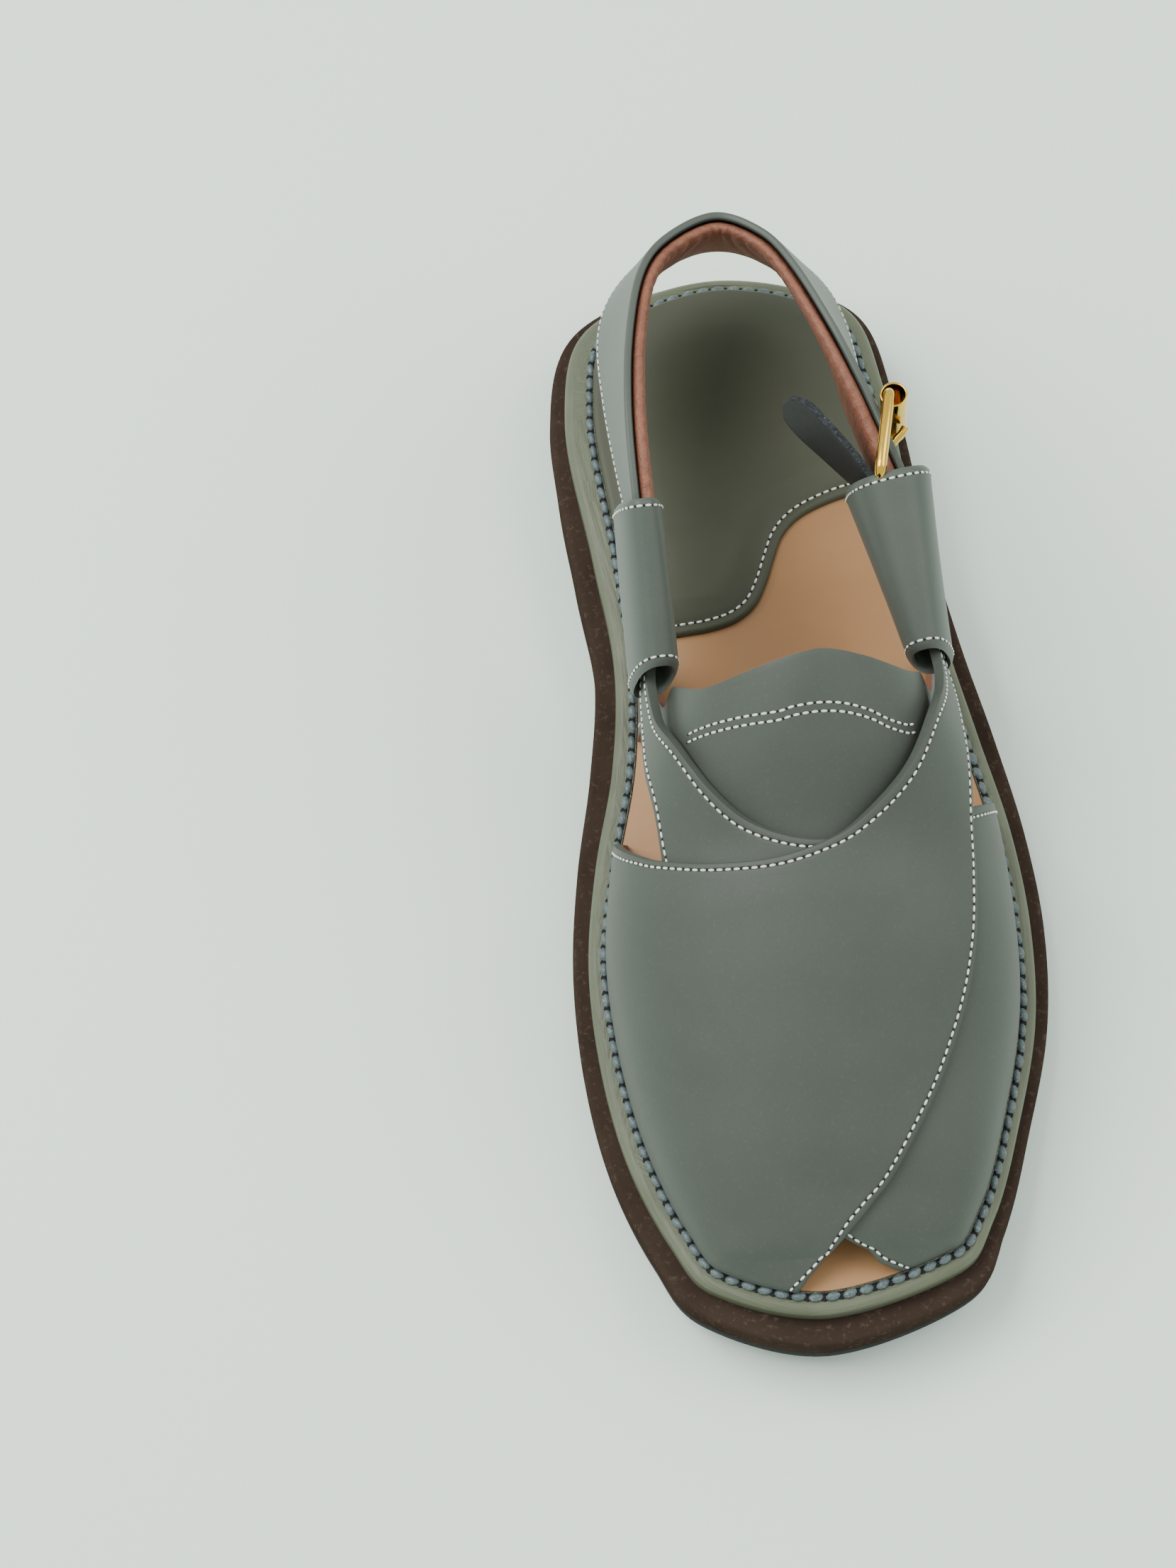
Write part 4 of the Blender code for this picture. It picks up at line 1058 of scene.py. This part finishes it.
@dataclass
class HeelCover:
    """Padded cover on the rear of the footbed, with its stitched front edge."""

    sole: Sole
    bench: Bench
    inset: float = 1.1 * MM
    corner: float = 3.0 * MM
    thickness: float = 2.0 * MM
    edge_round: float = 1.1 * MM
    crown: float = 1.3 * MM
    crown_reach: float = 15.0 * MM
    stitch_inset: float = 2.6 * MM
    groove: float = 0.55 * MM
    groove_reach: float = 0.9 * MM
    ridge: float = 0.9 * MM
    ridge_inset: float = 8.5 * MM
    ridge_reach: float = 3.0 * MM
    flats: tuple[float, ...] = (0.7 * MM, 0.8 * MM, 0.8 * MM, 1.0 * MM)
    cut: float = 2.6 * MM
    thread_rise: float = 0.15 * MM

    def __post_init__(self) -> None:
        end = self.sole.length * 0.5
        self.front = spline([(across * self.sole.width, end - along * self.sole.length)
                             for across, along in SOCK_FRONT], 161)
        halves = []
        heel = self.sole.sides(201, Line.SEAM, self.inset)
        for side, corner, edge in ((heel[0], self.front[0], self.front[:81]),
                                   (heel[1], self.front[-1], self.front[:79:-1])):
            inside = side[side[:, 1] > corner[1] + self.corner]
            halves.append(resample(np.vstack([inside, edge]), 150, 2))
        halves[1][0], halves[1][-1] = halves[0][0], halves[0][-1]
        self.ring = np.vstack([halves[0], halves[1][-2:0:-1]])

    def height(self, y: Array) -> Array:
        """Flat top of the cover, before its padding."""
        return self.sole.insole_top(y) + self.sole.gap + self.thickness

    def swell(self, spot: Array) -> float:
        """Rise of the padding at a point in plan."""
        rim = float(np.min(np.linalg.norm(self.ring - spot, axis=1)))
        front = float(np.min(np.linalg.norm(self.front - spot, axis=1)))
        rise = self.crown * float(smooth(rim / self.crown_reach))
        rise -= self.groove * float(np.exp(-((front - self.stitch_inset)
                                             / self.groove_reach) ** 2))
        rise += self.ridge * float(np.exp(-((front - self.ridge_inset) / self.ridge_reach) ** 2))
        return rise

    def build(self, seam: Seam) -> None:
        """Pad the cover and sew its front edge."""
        bm = layer(self.ring, lambda y: self.sole.insole_top(y) + self.sole.gap, self.height,
                   self.edge_round, 4, self.flats)
        for axis in (0, 1):
            low, high = self.ring[:, axis].min(), self.ring[:, axis].max()
            for spot in np.arange(low + MM, high - MM, self.cut):
                normal = np.eye(3)[axis]
                bmesh.ops.bisect_plane(bm, geom=bm.verts[:] + bm.edges[:] + bm.faces[:],
                                       plane_co=normal * spot, plane_no=normal)
        for vert in bm.verts:
            if vert.co.z > self.height(vert.co.y) - self.edge_round * 0.5:
                vert.co.z += self.swell(np.array(vert.co[:2]))
        finishes = self.bench.finishes
        made = self.bench.piece("heel_cover", bm, [finishes.sock], Slot.SOCK, ["heel_sock"])
        run = unit(np.gradient(self.front, axis=0))
        inward = np.column_stack([-run[:, 1], run[:, 0]])
        inward *= np.sign(inward[len(inward) // 2, 1])
        line = (self.front + inward * self.stitch_inset)[6:-6]
        rise = np.array([self.height(y) + self.swell(np.array([x, y])) for x, y in line])
        seam.row(np.column_stack([line, rise + self.thread_rise]), np.tile(UP, (len(line), 1)))


@dataclass
class HeelBand:
    """Line of the heel strap, by share of its run from the medial sleeve to the outer one."""

    sole: Sole
    top: float = 0.0980
    width: float = 0.040
    thickness: float = 4.5 * MM
    points: int = 481
    probe: float = 0.01

    def __post_init__(self) -> None:
        end = self.sole.length * 0.5
        rows = [(across * self.sole.width, end - along * self.sole.length, top * self.top,
                 width * self.width, lean) for across, along, top, width, lean in BACK_STRAP]
        self.fine = spline(rows, self.points)
        self.shares = np.linspace(0.0, 1.0, self.points)

    def widths(self, u: Array) -> Array:
        """Width of the band at u."""
        return np.interp(u, self.shares, self.fine[:, 3])

    def point(self, u: Array, v: Array, depth: Array | float = 0.0) -> Array:
        """Points on the band.

        Args:
            u: shares of its run.
            v: shares of its width, from the top edge.
            depth: ways inwards from its outer face.

        Returns:
            The points.
        """
        u, v, depth = np.broadcast_arrays(*map(np.atleast_1d, (u, v, depth)))
        rows = sample(u, self.shares, self.fine)
        after, before = (sample(np.clip(u + step, 0.0, 1.0), self.shares, self.fine[:, :2])
                         for step in (self.probe, -self.probe))
        run = unit(after - before)
        out = np.column_stack([-run[:, 1], run[:, 0], np.zeros(len(u))])
        down = unit(out * rows[:, 4:5] - UP)
        inward = unit(-out + down * (out * down).sum(axis=1, keepdims=True))
        return rows[:, :3] + down * (rows[:, 3] * v)[:, None] + inward * depth[:, None]

    def outward(self, u: Array) -> Array:
        """Outward directions of the band's face."""
        return unit(self.point(u, 0.5, 0.0) - self.point(u, 0.5, 0.001))


@dataclass
class HeelStrap:
    """Nubuck outside and padded sheepskin inside of the heel strap."""

    band: HeelBand
    bench: Bench
    leather: float = 1.9 * MM
    roll: float = 4.1 * MM
    roll_drop: float = 0.1 * MM
    overlap: float = 0.15 * MM
    section: tuple[float, float] = (0.42, 0.75)
    heel_spread: float = 0.12
    pucker_waves: tuple[float, float, float] = (150.0, 61.0, 310.0)
    pucker: float = 0.75 * MM
    ripple: float = 0.10 * MM
    stitch_inset: float = 2.2 * MM

    def shell(self, u: Array, v: Array) -> Array:
        """Inner face of the nubuck."""
        return self.band.point(u, v, self.leather)

    def lining(self, u: Array, v: Array) -> Array:
        """Padded lining as a closed section: v runs round it.

        It puckers most behind the heel, on its inner face and its top roll.
        """
        turn = 2.0 * np.pi * v
        width = self.band.widths(u)
        tall = (width - 2.0 * self.roll_drop) / width
        up = pressed(np.sin(turn), self.section[0])
        way = pressed(np.cos(turn), self.section[1])
        rear = np.exp(-((u - 0.50) / self.heel_spread) ** 2)
        folds, sway, ripples = self.pucker_waves
        fold = np.abs(np.sin(u * folds + 0.8 * np.sin(u * sway))) ** 0.45 - 0.75
        pucker = fold * self.pucker * rear + self.ripple * np.sin(u * ripples)
        pucker = pucker * np.clip(np.sin(turn) + 0.8 * np.cos(turn), 0.0, 1.0)
        ends = np.minimum(np.minimum(u, 1.0 - u) / 0.01, 1.0) ** 0.5
        half = self.roll * 0.5 * ends
        middle = self.leather - self.overlap + self.roll * 0.5
        down = 0.5 - 0.5 * tall * up - pucker / width
        return self.band.point(u, down, middle + way * half + pucker * 0.6)

    def build(self, seam: Seam) -> None:
        """Bend both layers round the heel and sew the lower edge."""
        length = run_of(self.band.fine)
        finishes = self.bench.finishes

        bm = bent_grid(170, 22, self.shell, run_mm=length / MM, width_mm=40.0)
        # Outer face in the nubuck's lighter copy, which is painted light; inner face in a darker
        # copy, which is painted shade
        made = self.bench.piece("heel_strap_nubuck", bm,
                                [finishes.smooth_nubuck_painted_light, finishes.inner_face_shade], Slot.NUBUCK,
                                ["back_strap"])
        self.bench.leather(made, self.leather, round_mm=0.75)
        bm = bent_grid(260, 40, self.lining, run_mm=length / MM, width_mm=80.0)
        bmesh.ops.holes_fill(bm, edges=[edge for edge in bm.edges if edge.is_boundary], sides=0)
        bmesh.ops.recalc_face_normals(bm, faces=bm.faces)
        made = self.bench.piece("heel_strap_lining", bm, [finishes.lining], Slot.NUBUCK,
                                ["back_strap"], 70.0)
        u = np.linspace(0.02, 0.84, 500)
        v = 1.0 - self.stitch_inset / self.band.widths(u)
        seam.row(self.band.point(u, v, 0.0), self.band.outward(u))


@dataclass
class Sleeve:
    """Rolled leather sleeve between a strap's end and the heel strap.

    Its front mouth lies on the last at a station, a share round it and a lift in strap
    thicknesses, and its rear mouth on the heel band. Sizes are halves, across and up.
    """

    name: str
    node: str
    last: Last
    band: HeelBand
    bench: Bench
    station: float
    around: float
    lift: float
    front_size: tuple[float, float]
    rear_size: tuple[float, float]
    rear_run: float
    rear_inset: float
    slant: float
    wall: float = 1.9 * MM
    squareness: float = 2.6
    rear_down: float = 0.60
    strap_thickness: float = 2.5 * MM
    rim_round: float = 2.6 * MM
    stitch_inset: float = 2.1 * MM

    def __post_init__(self) -> None:
        at = np.array([self.station])
        turn = np.array([self.around])
        lift = (self.lift + 0.5) * self.strap_thickness
        self.front = self.last.point(at, turn, lift)[0]
        side = self.last.point(at, turn, MM)[0] - self.last.point(at, turn, 0.0)[0]
        up = self.last.point(at, turn + 0.02, 0.0)[0] - self.last.point(at, turn - 0.02, 0.0)[0]
        self.front_axes = (unit(side), unit(up * np.sign(up[2])))
        depth = self.band.thickness * 0.5 + self.rear_inset
        run = self.rear_run
        self.rear = self.band.point(run, self.rear_down, depth)[0]
        side = self.band.point(run, 0.5, 0.0)[0] - self.band.point(run, 0.5, MM)[0]
        up = self.band.point(run, 0.0)[0] - self.band.point(run, 1.0)[0]
        self.rear_axes = (unit(side), unit(up))

    def axes(self, share: Array) -> tuple[Array, Array, Array, Array]:
        """Centre, side, up and half sizes at shares of the way from front to rear."""
        share = np.atleast_1d(share)[:, None]
        run = unit(self.rear - self.front)
        up = self.front_axes[1] + (self.rear_axes[1] - self.front_axes[1]) * share
        side = self.front_axes[0] + (self.rear_axes[0] - self.front_axes[0]) * share
        up = unit(up - run * (up @ run)[:, None])
        side = side - run * (side @ run)[:, None]
        side = unit(side - up * (side * up).sum(axis=1, keepdims=True))
        size = np.array(self.front_size) + (np.array(self.rear_size)
                                            - np.array(self.front_size)) * share
        return self.front + (self.rear - self.front) * share, side, up, size

    def skin(self, share: Array, turn: Array, inset: Array | float = 0.0) -> Array:
        """Points round the sleeve.

        Args:
            share: shares of the way from front to rear.
            turn: angles round it.
            inset: ways in from its outer face.

        Returns:
            The points.
        """
        centre, side, up, size = self.axes(share)
        power = 2.0 / self.squareness
        x = pressed(np.cos(turn), power) * (size[:, 0] - inset)
        y = pressed(np.sin(turn), power) * (size[:, 1] - inset)
        slide = unit(self.front - self.rear) * self.slant * (1.0 - share[:, None])
        return centre + side * x[:, None] + (up - slide) * y[:, None]

    def build(self, seam: Seam) -> None:
        """Roll the sleeve, round both rims and sew round them."""
        length = float(np.linalg.norm(self.rear - self.front))
        rim = self.rim_round / length

        def place(u: Array, v: Array) -> Array:
            """One skin: u runs 1.8 along the outer face, 0.2 over the rim, and so back inside."""
            loop = u * 4.0
            parts = [loop < 1.8, loop < 2.0, loop < 3.8]
            share = np.select(parts, [loop / 1.8, 1.0, 1.0 - (loop - 2.0) / 1.8], 0.0)
            inset = np.select(parts, [0.0, (loop - 1.8) / 0.2, 1.0], (4.0 - loop) / 0.2)
            edge = np.minimum(share, 1.0 - share) / rim
            lip = np.sqrt(np.clip(1.0 - np.clip(1.0 - edge, 0.0, 1.0) ** 2, 0.0, 1.0))
            depth = np.where(inset < 0.5, 0.5 - 0.5 * lip, 0.5 + 0.5 * lip)
            depth = np.where((inset > 0.0) & (inset < 1.0), 0.5, depth)
            return self.skin(share, 2.0 * np.pi * v, depth * self.wall)

        bm = bent_grid(120, 72, place, run_mm=length * 2.0 / MM, width_mm=50.0)
        bmesh.ops.recalc_face_normals(bm, faces=bm.faces)
        finishes = self.bench.finishes
        # The sleeve's drawn nubuck is painted lighter: painted light
        self.bench.piece(self.name, bm, [finishes.smooth_nubuck_painted_light], Slot.NUBUCK, [self.node], 75.0)
        turn = np.linspace(0.0, 2.0 * np.pi, 160)
        for share in (self.stitch_inset / length, 1.0 - self.stitch_inset / length):
            shares = np.full(len(turn), share)
            line = self.skin(shares, turn)
            seam.row(line, unit(line - self.skin(shares, turn, MM)))


def tube(points: Array, radius: float, loop: bool, sides: int = 14) -> bmesh.types.BMesh:
    """Round wire along points.

    Args:
        points: the wire's middle line.
        radius: its radius.
        loop: whether the line closes on itself.
        sides: how many sides it has.

    Returns:
        The closed wire.
    """
    line = closed(points) if loop else points
    ahead = unit(np.gradient(line, axis=0))
    if loop:
        ahead[0] = ahead[-1] = unit(line[1] - line[-2])
    side = np.zeros_like(line)
    last = unit(np.cross(ahead[0], (0.3, 0.5, 0.8)))
    for k in range(len(line)):
        last = unit(last - ahead[k] * (last @ ahead[k]))
        side[k] = last
    if loop:
        side[-1] = side[0]
    rise = np.cross(ahead, side)
    shares = np.linspace(0.0, 1.0, len(line))

    def place(u: Array, v: Array) -> Array:
        middle, out, up = (sample(u, shares, rows) for rows in (line, side, rise))
        turn = (2.0 * np.pi * v)[:, None]
        return middle + (out * np.cos(turn) + up * np.sin(turn)) * radius

    bm = bent_grid(len(line) - 1, sides, place, run_mm=run_of(line) / MM,
                   width_mm=2.0 * np.pi * radius / MM)
    ends = [edge for edge in bm.edges if edge.is_boundary]
    bmesh.ops.holes_fill(bm, edges=ends, sides=0)
    bmesh.ops.recalc_face_normals(bm, faces=bm.faces)
    return bm


@dataclass
class Buckle:
    """Gilt roller buckle on the heel strap."""

    band: HeelBand
    bench: Bench
    wire: float = 1.45 * MM
    window: float = 21.4 * MM
    corner: float = 2.2 * MM
    roller: float = 3.4 * MM
    roller_wall: float = 0.6 * MM
    roller_run: float = 0.865
    front_run: float = 0.962
    front_air: float = 1.2 * MM
    roller_air: float = 0.9 * MM
    prong: float = 1.0 * MM
    prong_run: float = 0.902
    prong_rise: float = 0.6
    mouth: float = 1.5 * MM
    gap: float = 0.3 * MM

    def __post_init__(self) -> None:
        middle = 0.5 * (self.roller_run + self.front_run)
        outward = self.band.outward(np.array([middle]))[0]
        up = self.band.point(middle, 0.0)[0] - self.band.point(middle, 1.0)[0]
        self.up = unit(up)
        outside = self.roller - self.roller_wall - self.wire - self.gap
        self.rear = self.band.point(self.roller_run, 0.5,
                                    -(self.roller + self.roller_air) + outside)[0]
        self.front = self.band.point(self.front_run, 0.5,
                                     self.band.thickness + self.wire + self.front_air)[0]
        run = self.front - self.rear
        run = run - self.up * (run @ self.up)
        self.length = float(np.linalg.norm(run))
        self.run = run / self.length
        self.out = np.cross(self.up, self.run)
        self.out = self.out * np.sign(self.out @ outward)
        self.axle = self.rear + self.out * outside

    def frame(self) -> None:
        """Closed wire loop with round corners."""
        half = self.window * 0.5 + self.wire
        corners = np.array([(0.0, -half), (self.length, -half), (self.length, half),
                            (0.0, half)])
        line = []
        for k, corner in enumerate(corners):
            before = unit(corners[k - 1] - corner) * self.corner
            after = unit(corners[(k + 1) % 4] - corner) * self.corner
            for turn in np.linspace(0.0, np.pi * 0.5, 9):
                flat = corner + before * (1.0 - np.sin(turn)) + after * (1.0 - np.cos(turn))
                line.append(self.rear + self.run * flat[0] + self.up * flat[1])
        bm = tube(np.array(line), self.wire, True)
        self.bench.piece("buckle_loop", bm, [self.bench.finishes.gilt], Slot.BRASS,
                         ["buckle_frame"])

    def rolled(self) -> None:
        """Sheet rolled into a tube round the rear bar."""
        half = self.window * 0.5 - self.wire - self.gap
        middle, thick = self.roller - self.roller_wall * 0.5, self.roller_wall * 0.5

        def place(u: Array, v: Array) -> Array:
            turn = 2.0 * np.pi * v
            way = 2.0 * np.pi * u
            radius = middle + thick * np.cos(way)
            rise = (half - thick) * np.clip(np.sin(way) * 4.0, -1.0, 1.0) + thick * np.sin(way)
            rise = rise + np.where(rise > 0.0, self.mouth, 0.0)
            ring = (self.run * np.cos(turn)[:, None] + self.out * np.sin(turn)[:, None])
            return self.axle + ring * radius[:, None] + self.up * rise[:, None]

        bm = bent_grid(40, 40, place, run_mm=20.0, width_mm=20.0)
        bmesh.ops.recalc_face_normals(bm, faces=bm.faces)
        self.bench.piece("buckle_tube", bm, [self.bench.finishes.gilt], Slot.BRASS,
                         ["buckle_roller"], 60.0)

    def tongue(self) -> None:
        """Prong through the strap and back over the roller."""
        inner = self.band.point(self.prong_run, 0.5, self.band.thickness + self.prong)[0]
        outer = self.band.point(self.prong_run, 0.5, -self.prong)[0]
        over = self.axle + unit(self.out + self.run) * (self.roller + self.prong + self.gap)
        near = outer + (over - outer) * self.prong_rise + self.out * self.gap
        route = spline([inner, 0.5 * (inner + outer), outer, 0.5 * (outer + near), near, over],
                       40)
        self.bench.piece("buckle_pin", tube(route, self.prong, False, 12),
                         [self.bench.finishes.gilt], Slot.BRASS, ["buckle_prong"])


@dataclass
class Billet:
    """Black tail of the buckle's tab, with its pointed end."""

    sleeve: Sleeve
    bench: Bench
    length: float = 24.0 * MM
    width: float = 15.0 * MM
    thickness: float = 1.8 * MM
    rise: float = 3.0 * MM

    def build(self) -> None:
        """Bend the tail out of the sleeve's mouth."""
        centre, side, up, _ = [value[0] for value in self.sleeve.axes(1.0)]
        run = np.cross(side, up)
        run = run * np.sign(run[1])
        fine = spline(BILLET, 121)
        shares = np.linspace(0.0, 1.0, 121)

        def place(u: Array, v: Array) -> Array:
            back, inward, width, lean = sample(u, shares, fine).T[:, :, None]
            middle = centre + run * (back * self.length) - side * (inward * self.length)
            edge = unit(up + side * lean)
            return middle + edge * (width * self.width * (2.0 * v[:, None] - 1.0)) + up * self.rise

        bm = bent_grid(60, 14, place, run_mm=40.0, width_mm=15.0)
        finishes = self.bench.finishes
        made = self.bench.piece("billet_tail", bm, [finishes.black, finishes.cut],
                                Slot.BLACK, ["billet"])
        self.bench.leather(made, self.thickness, lining=0, rim=1, round_mm=0.35)


def camera() -> None:
    """Camera at the photograph's angle: a close phone camera high over the toe."""
    tilt, roll = CAMERA_TILT, CAMERA_ROLL
    roll_turn = np.array([[np.cos(roll), -np.sin(roll), 0.0], [np.sin(roll), np.cos(roll), 0.0],
                          [0.0, 0.0, 1.0]])
    tilt_turn = np.array([[1.0, 0.0, 0.0], [0.0, np.cos(tilt), -np.sin(tilt)],
                          [0.0, np.sin(tilt), np.cos(tilt)]])
    view = roll_turn @ tilt_turn @ np.diag([1.0, -1.0, -1.0])
    data = bpy.data.cameras.new("phone_camera")
    data.sensor_fit = "AUTO"
    data.sensor_width = 36.0
    data.lens = FOCAL_PX / PHOTO_PX * data.sensor_width
    data.clip_start = 0.05
    made = placed("phone_camera", data)
    turn = Matrix((view.T * (1.0, -1.0, -1.0)).tolist()).to_4x4()
    turn.translation = Vector(CAMERA_SPOT)
    made.matrix_world = turn
    bpy.context.scene.camera = made


def studio() -> None:
    """Pale seamless floor, and large soft lamps over a pale sky."""
    bm = bmesh.new()
    bmesh.ops.create_grid(bm, x_segments=1, y_segments=1, size=3.0)
    floor = placed("studio_floor", meshed("studio_floor", bm))
    paint = bpy.data.materials.new("seamless_paper")
    paint.use_nodes = True
    shader = paint.node_tree.nodes["Principled BSDF"]
    shader.inputs["Base Color"].default_value = linear("#ECFAEF")
    shader.inputs["Roughness"].default_value = 0.7
    floor.data.materials.append(paint)
    floor.location.z = -0.0002
    world = bpy.data.worlds.new("studio_sky")
    bpy.context.scene.world = world
    world.use_nodes = True
    sky = world.node_tree.nodes["Background"]
    sky.inputs["Color"].default_value = linear("#E8EFEA")
    sky.inputs["Strength"].default_value = 1.05
    for name, spot, size, power in LAMPS:
        lamp = bpy.data.lights.new(name, "AREA")
        lamp.size = size
        lamp.energy = power
        made = placed(name, lamp)
        made.location = spot
        aim = Vector((0.0, 0.0, 0.03)) - made.location
        made.rotation_euler = aim.to_track_quat("-Z", "Y").to_euler()


@dataclass
class Strap:
    """One crossing strap of the upper, from its seam to its sleeve."""

    name: str
    last: Last
    bench: Bench
    table: tuple[tuple[float, ...], ...]
    from_throat: bool
    thickness: float = 2.3 * MM
    solid_thickness: float = 2.5 * MM
    inset: float = 2.05 * MM
    run: float = 0.4
    points: int = 241

    def __post_init__(self) -> None:
        shares = np.linspace(0.0, 1.0, len(self.table)) * self.run
        self.fine = spline([(share, 0.0, *row) for share, row in zip(shares, self.table)],
                           self.points)
        self.shares = np.linspace(0.0, 1.0, 81)
        ends = [self.edge(self.shares, np.full(len(self.shares), v)) for v in (0.0, 1.0)]
        self.widths = np.linalg.norm(ends[0] - ends[1], axis=1)

    def chart(self, u: Array, v: Array) -> tuple[Array, Array, Array]:
        """Where the strap's points lie on the last.

        Args:
            u: shares of its run from seam to sleeve.
            v: shares of its width.

        Returns:
            Station, share round the last and lift of the inner face.
        """
        values = sample(u * self.run, self.fine[:, 0], self.fine[:, 2:])
        throat_station, throat_around, toe_station, toe_around, lift = values.T
        edge = v if self.from_throat else 1.0 - v
        station = throat_station + (toe_station - throat_station) * edge
        around = np.clip(throat_around + (toe_around - throat_around) * edge, 0.0, 1.0)
        return station, around, lift * self.solid_thickness

    def edge(self, u: Array, v: Array) -> Array:
        """Points of the inner face."""
        station, around, lift = self.chart(u, v)
        return self.last.point(station, around, lift)

    def width(self, u: Array) -> Array:
        """Width of the strap at u."""
        return np.interp(u, self.shares, self.widths)

    def build(self) -> None:
        """Bend the strap over the last and roll its edges."""
        def nearest(u: Array, v: Array) -> Array:
            return np.minimum(v, 1.0 - v) * self.width(u) / MM

        bm = bent_grid(150, 64, self.edge, run_mm=190.0, width_mm=90.0, edge=nearest)
        finishes = self.bench.finishes
        made = self.bench.piece(self.name, bm, [finishes.nubuck, finishes.lining], Slot.NUBUCK,
                                ["upper"])
        self.bench.leather(made, self.thickness)

    def stitches(self, seam: Seam, side: int, first: float, last: float) -> None:
        """Sew one edge.

        Args:
            seam: where the stitches go.
            side: 0 for the grid's first edge, 1 for its second.
            first: start of the row along the strap.
            last: end of the row.
        """
        u = np.linspace(first, last, 240)
        inwards = self.inset / np.maximum(self.width(u), 0.004)
        v = 1.0 - inwards if side else inwards
        station, around, lift = self.chart(u, v)
        normals = self.last.normal(station, around)
        seam.row(self.last.point(station, around, lift + self.thickness), normals)


@dataclass
class InstepPanel:
    """Panel under both straps, with side wings down to the seam."""

    last: Last
    bench: Bench
    thickness: float = 2.0 * MM
    solid_thickness: float = 2.2 * MM
    foot: float = 0.002
    row_gap: float = 0.0055
    wing_inset: float = 0.0075

    def __post_init__(self) -> None:
        self.fine = spline([(row[0], 0.0, *row[1:]) for row in TONGUE], 321)

    def lift(self, around: Array) -> Array:
        """Lift of the inner face over the last."""
        drop = np.interp(around, self.fine[:, 0], self.fine[:, 4])
        return -drop * self.solid_thickness

    def place(self, u: Array, v: Array) -> Array:
        """Points of the inner face: u round the last, v from the front edge to the top edge."""
        rear, front = sample(u, self.fine[:, 0], self.fine[:, 2:4]).T
        around = self.foot + (1.0 - 2.0 * self.foot) * u
        return self.last.point(front + (rear - front) * v, around, self.lift(u))

    def build(self, seam: Seam) -> None:
        """Bend the panel, sew its double arc and the front edges of its wings."""
        # The panel's edges aren't turned, so no point counts as near a fold
        bm = bent_grid(180, 26, self.place, run_mm=200.0, width_mm=40.0,
                       edge=lambda u, v: np.full(len(u), EDGE_REACH_MM))
        finishes = self.bench.finishes
        made = self.bench.piece("instep_panel", bm, [finishes.nubuck, finishes.lining],
                                Slot.NUBUCK, ["tongue"])
        self.bench.leather(made, self.thickness, rim=1, round_mm=0.5)
        arc = spline(TONGUE_STITCHES, 160)
        for shift in (0.0, self.row_gap):
            station, around = arc[:, 0] + shift, arc[:, 1]
            lift = self.lift(around) + self.thickness
            seam.row(self.last.point(station, around, lift), self.last.normal(station, around))
        for first, last in ((0.03, 0.24), (0.76, 0.97)):
            u = np.linspace(first, last, 120)
            front = np.interp(u, self.fine[:, 0], self.fine[:, 3]) - self.wing_inset
            lift = self.lift(u) + self.thickness
            seam.row(self.last.point(front, u, lift), self.last.normal(front, u))


def main() -> None:
    """Dress the shoe."""
    logging.basicConfig(level=logging.INFO, format="%(name)s: %(message)s")
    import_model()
    camera()
    studio()
    bench = Bench(Finishes())
    sole = Sole()
    last = Last(sole)
    seam = Seam(bench)
    bottom = SoleUnit(sole, bench)
    bottom.layers()
    bottom.welt()
    for name, table, from_throat, starts in (("over_strap", OVER_STRAP, False, (0.02, 0.015)),
                                             ("under_strap", UNDER_STRAP, True, (0.02, 0.02))):
        strap = Strap(name, last, bench, table, from_throat)
        strap.build()
        for side, start in enumerate(starts):
            strap.stitches(seam, side, start, 0.985)
    InstepPanel(last, bench).build(seam)
    HeelCover(sole, bench).build(seam)
    band = HeelBand(sole)
    HeelStrap(band, bench).build(seam)
    medial = Sleeve("medial_sleeve", "sleeve_medial", last, band, bench, station=0.4645,
                    around=0.1580, lift=-0.50, front_size=(5.5 * MM, 10.6 * MM),
                    rear_size=(5.6 * MM, 17.4 * MM), rear_run=0.074, rear_inset=0.0, slant=0.36)
    medial.build(seam)
    outer = Sleeve("outer_sleeve", "sleeve_lateral", last, band, bench, station=0.4580,
                   around=0.8475, lift=-1.30, front_size=(5.2 * MM, 10.5 * MM),
                   rear_size=(10.6 * MM, 16.5 * MM), rear_run=0.939, rear_inset=1.2 * MM,
                   slant=0.26)
    outer.build(seam)
    buckle = Buckle(band, bench)
    buckle.frame()
    buckle.rolled()
    buckle.tongue()
    Billet(outer, bench).build()
    seam.finish()
    LOG.info("%d pieces", len(bench.pieces))


if __name__ == "__main__":
    main()
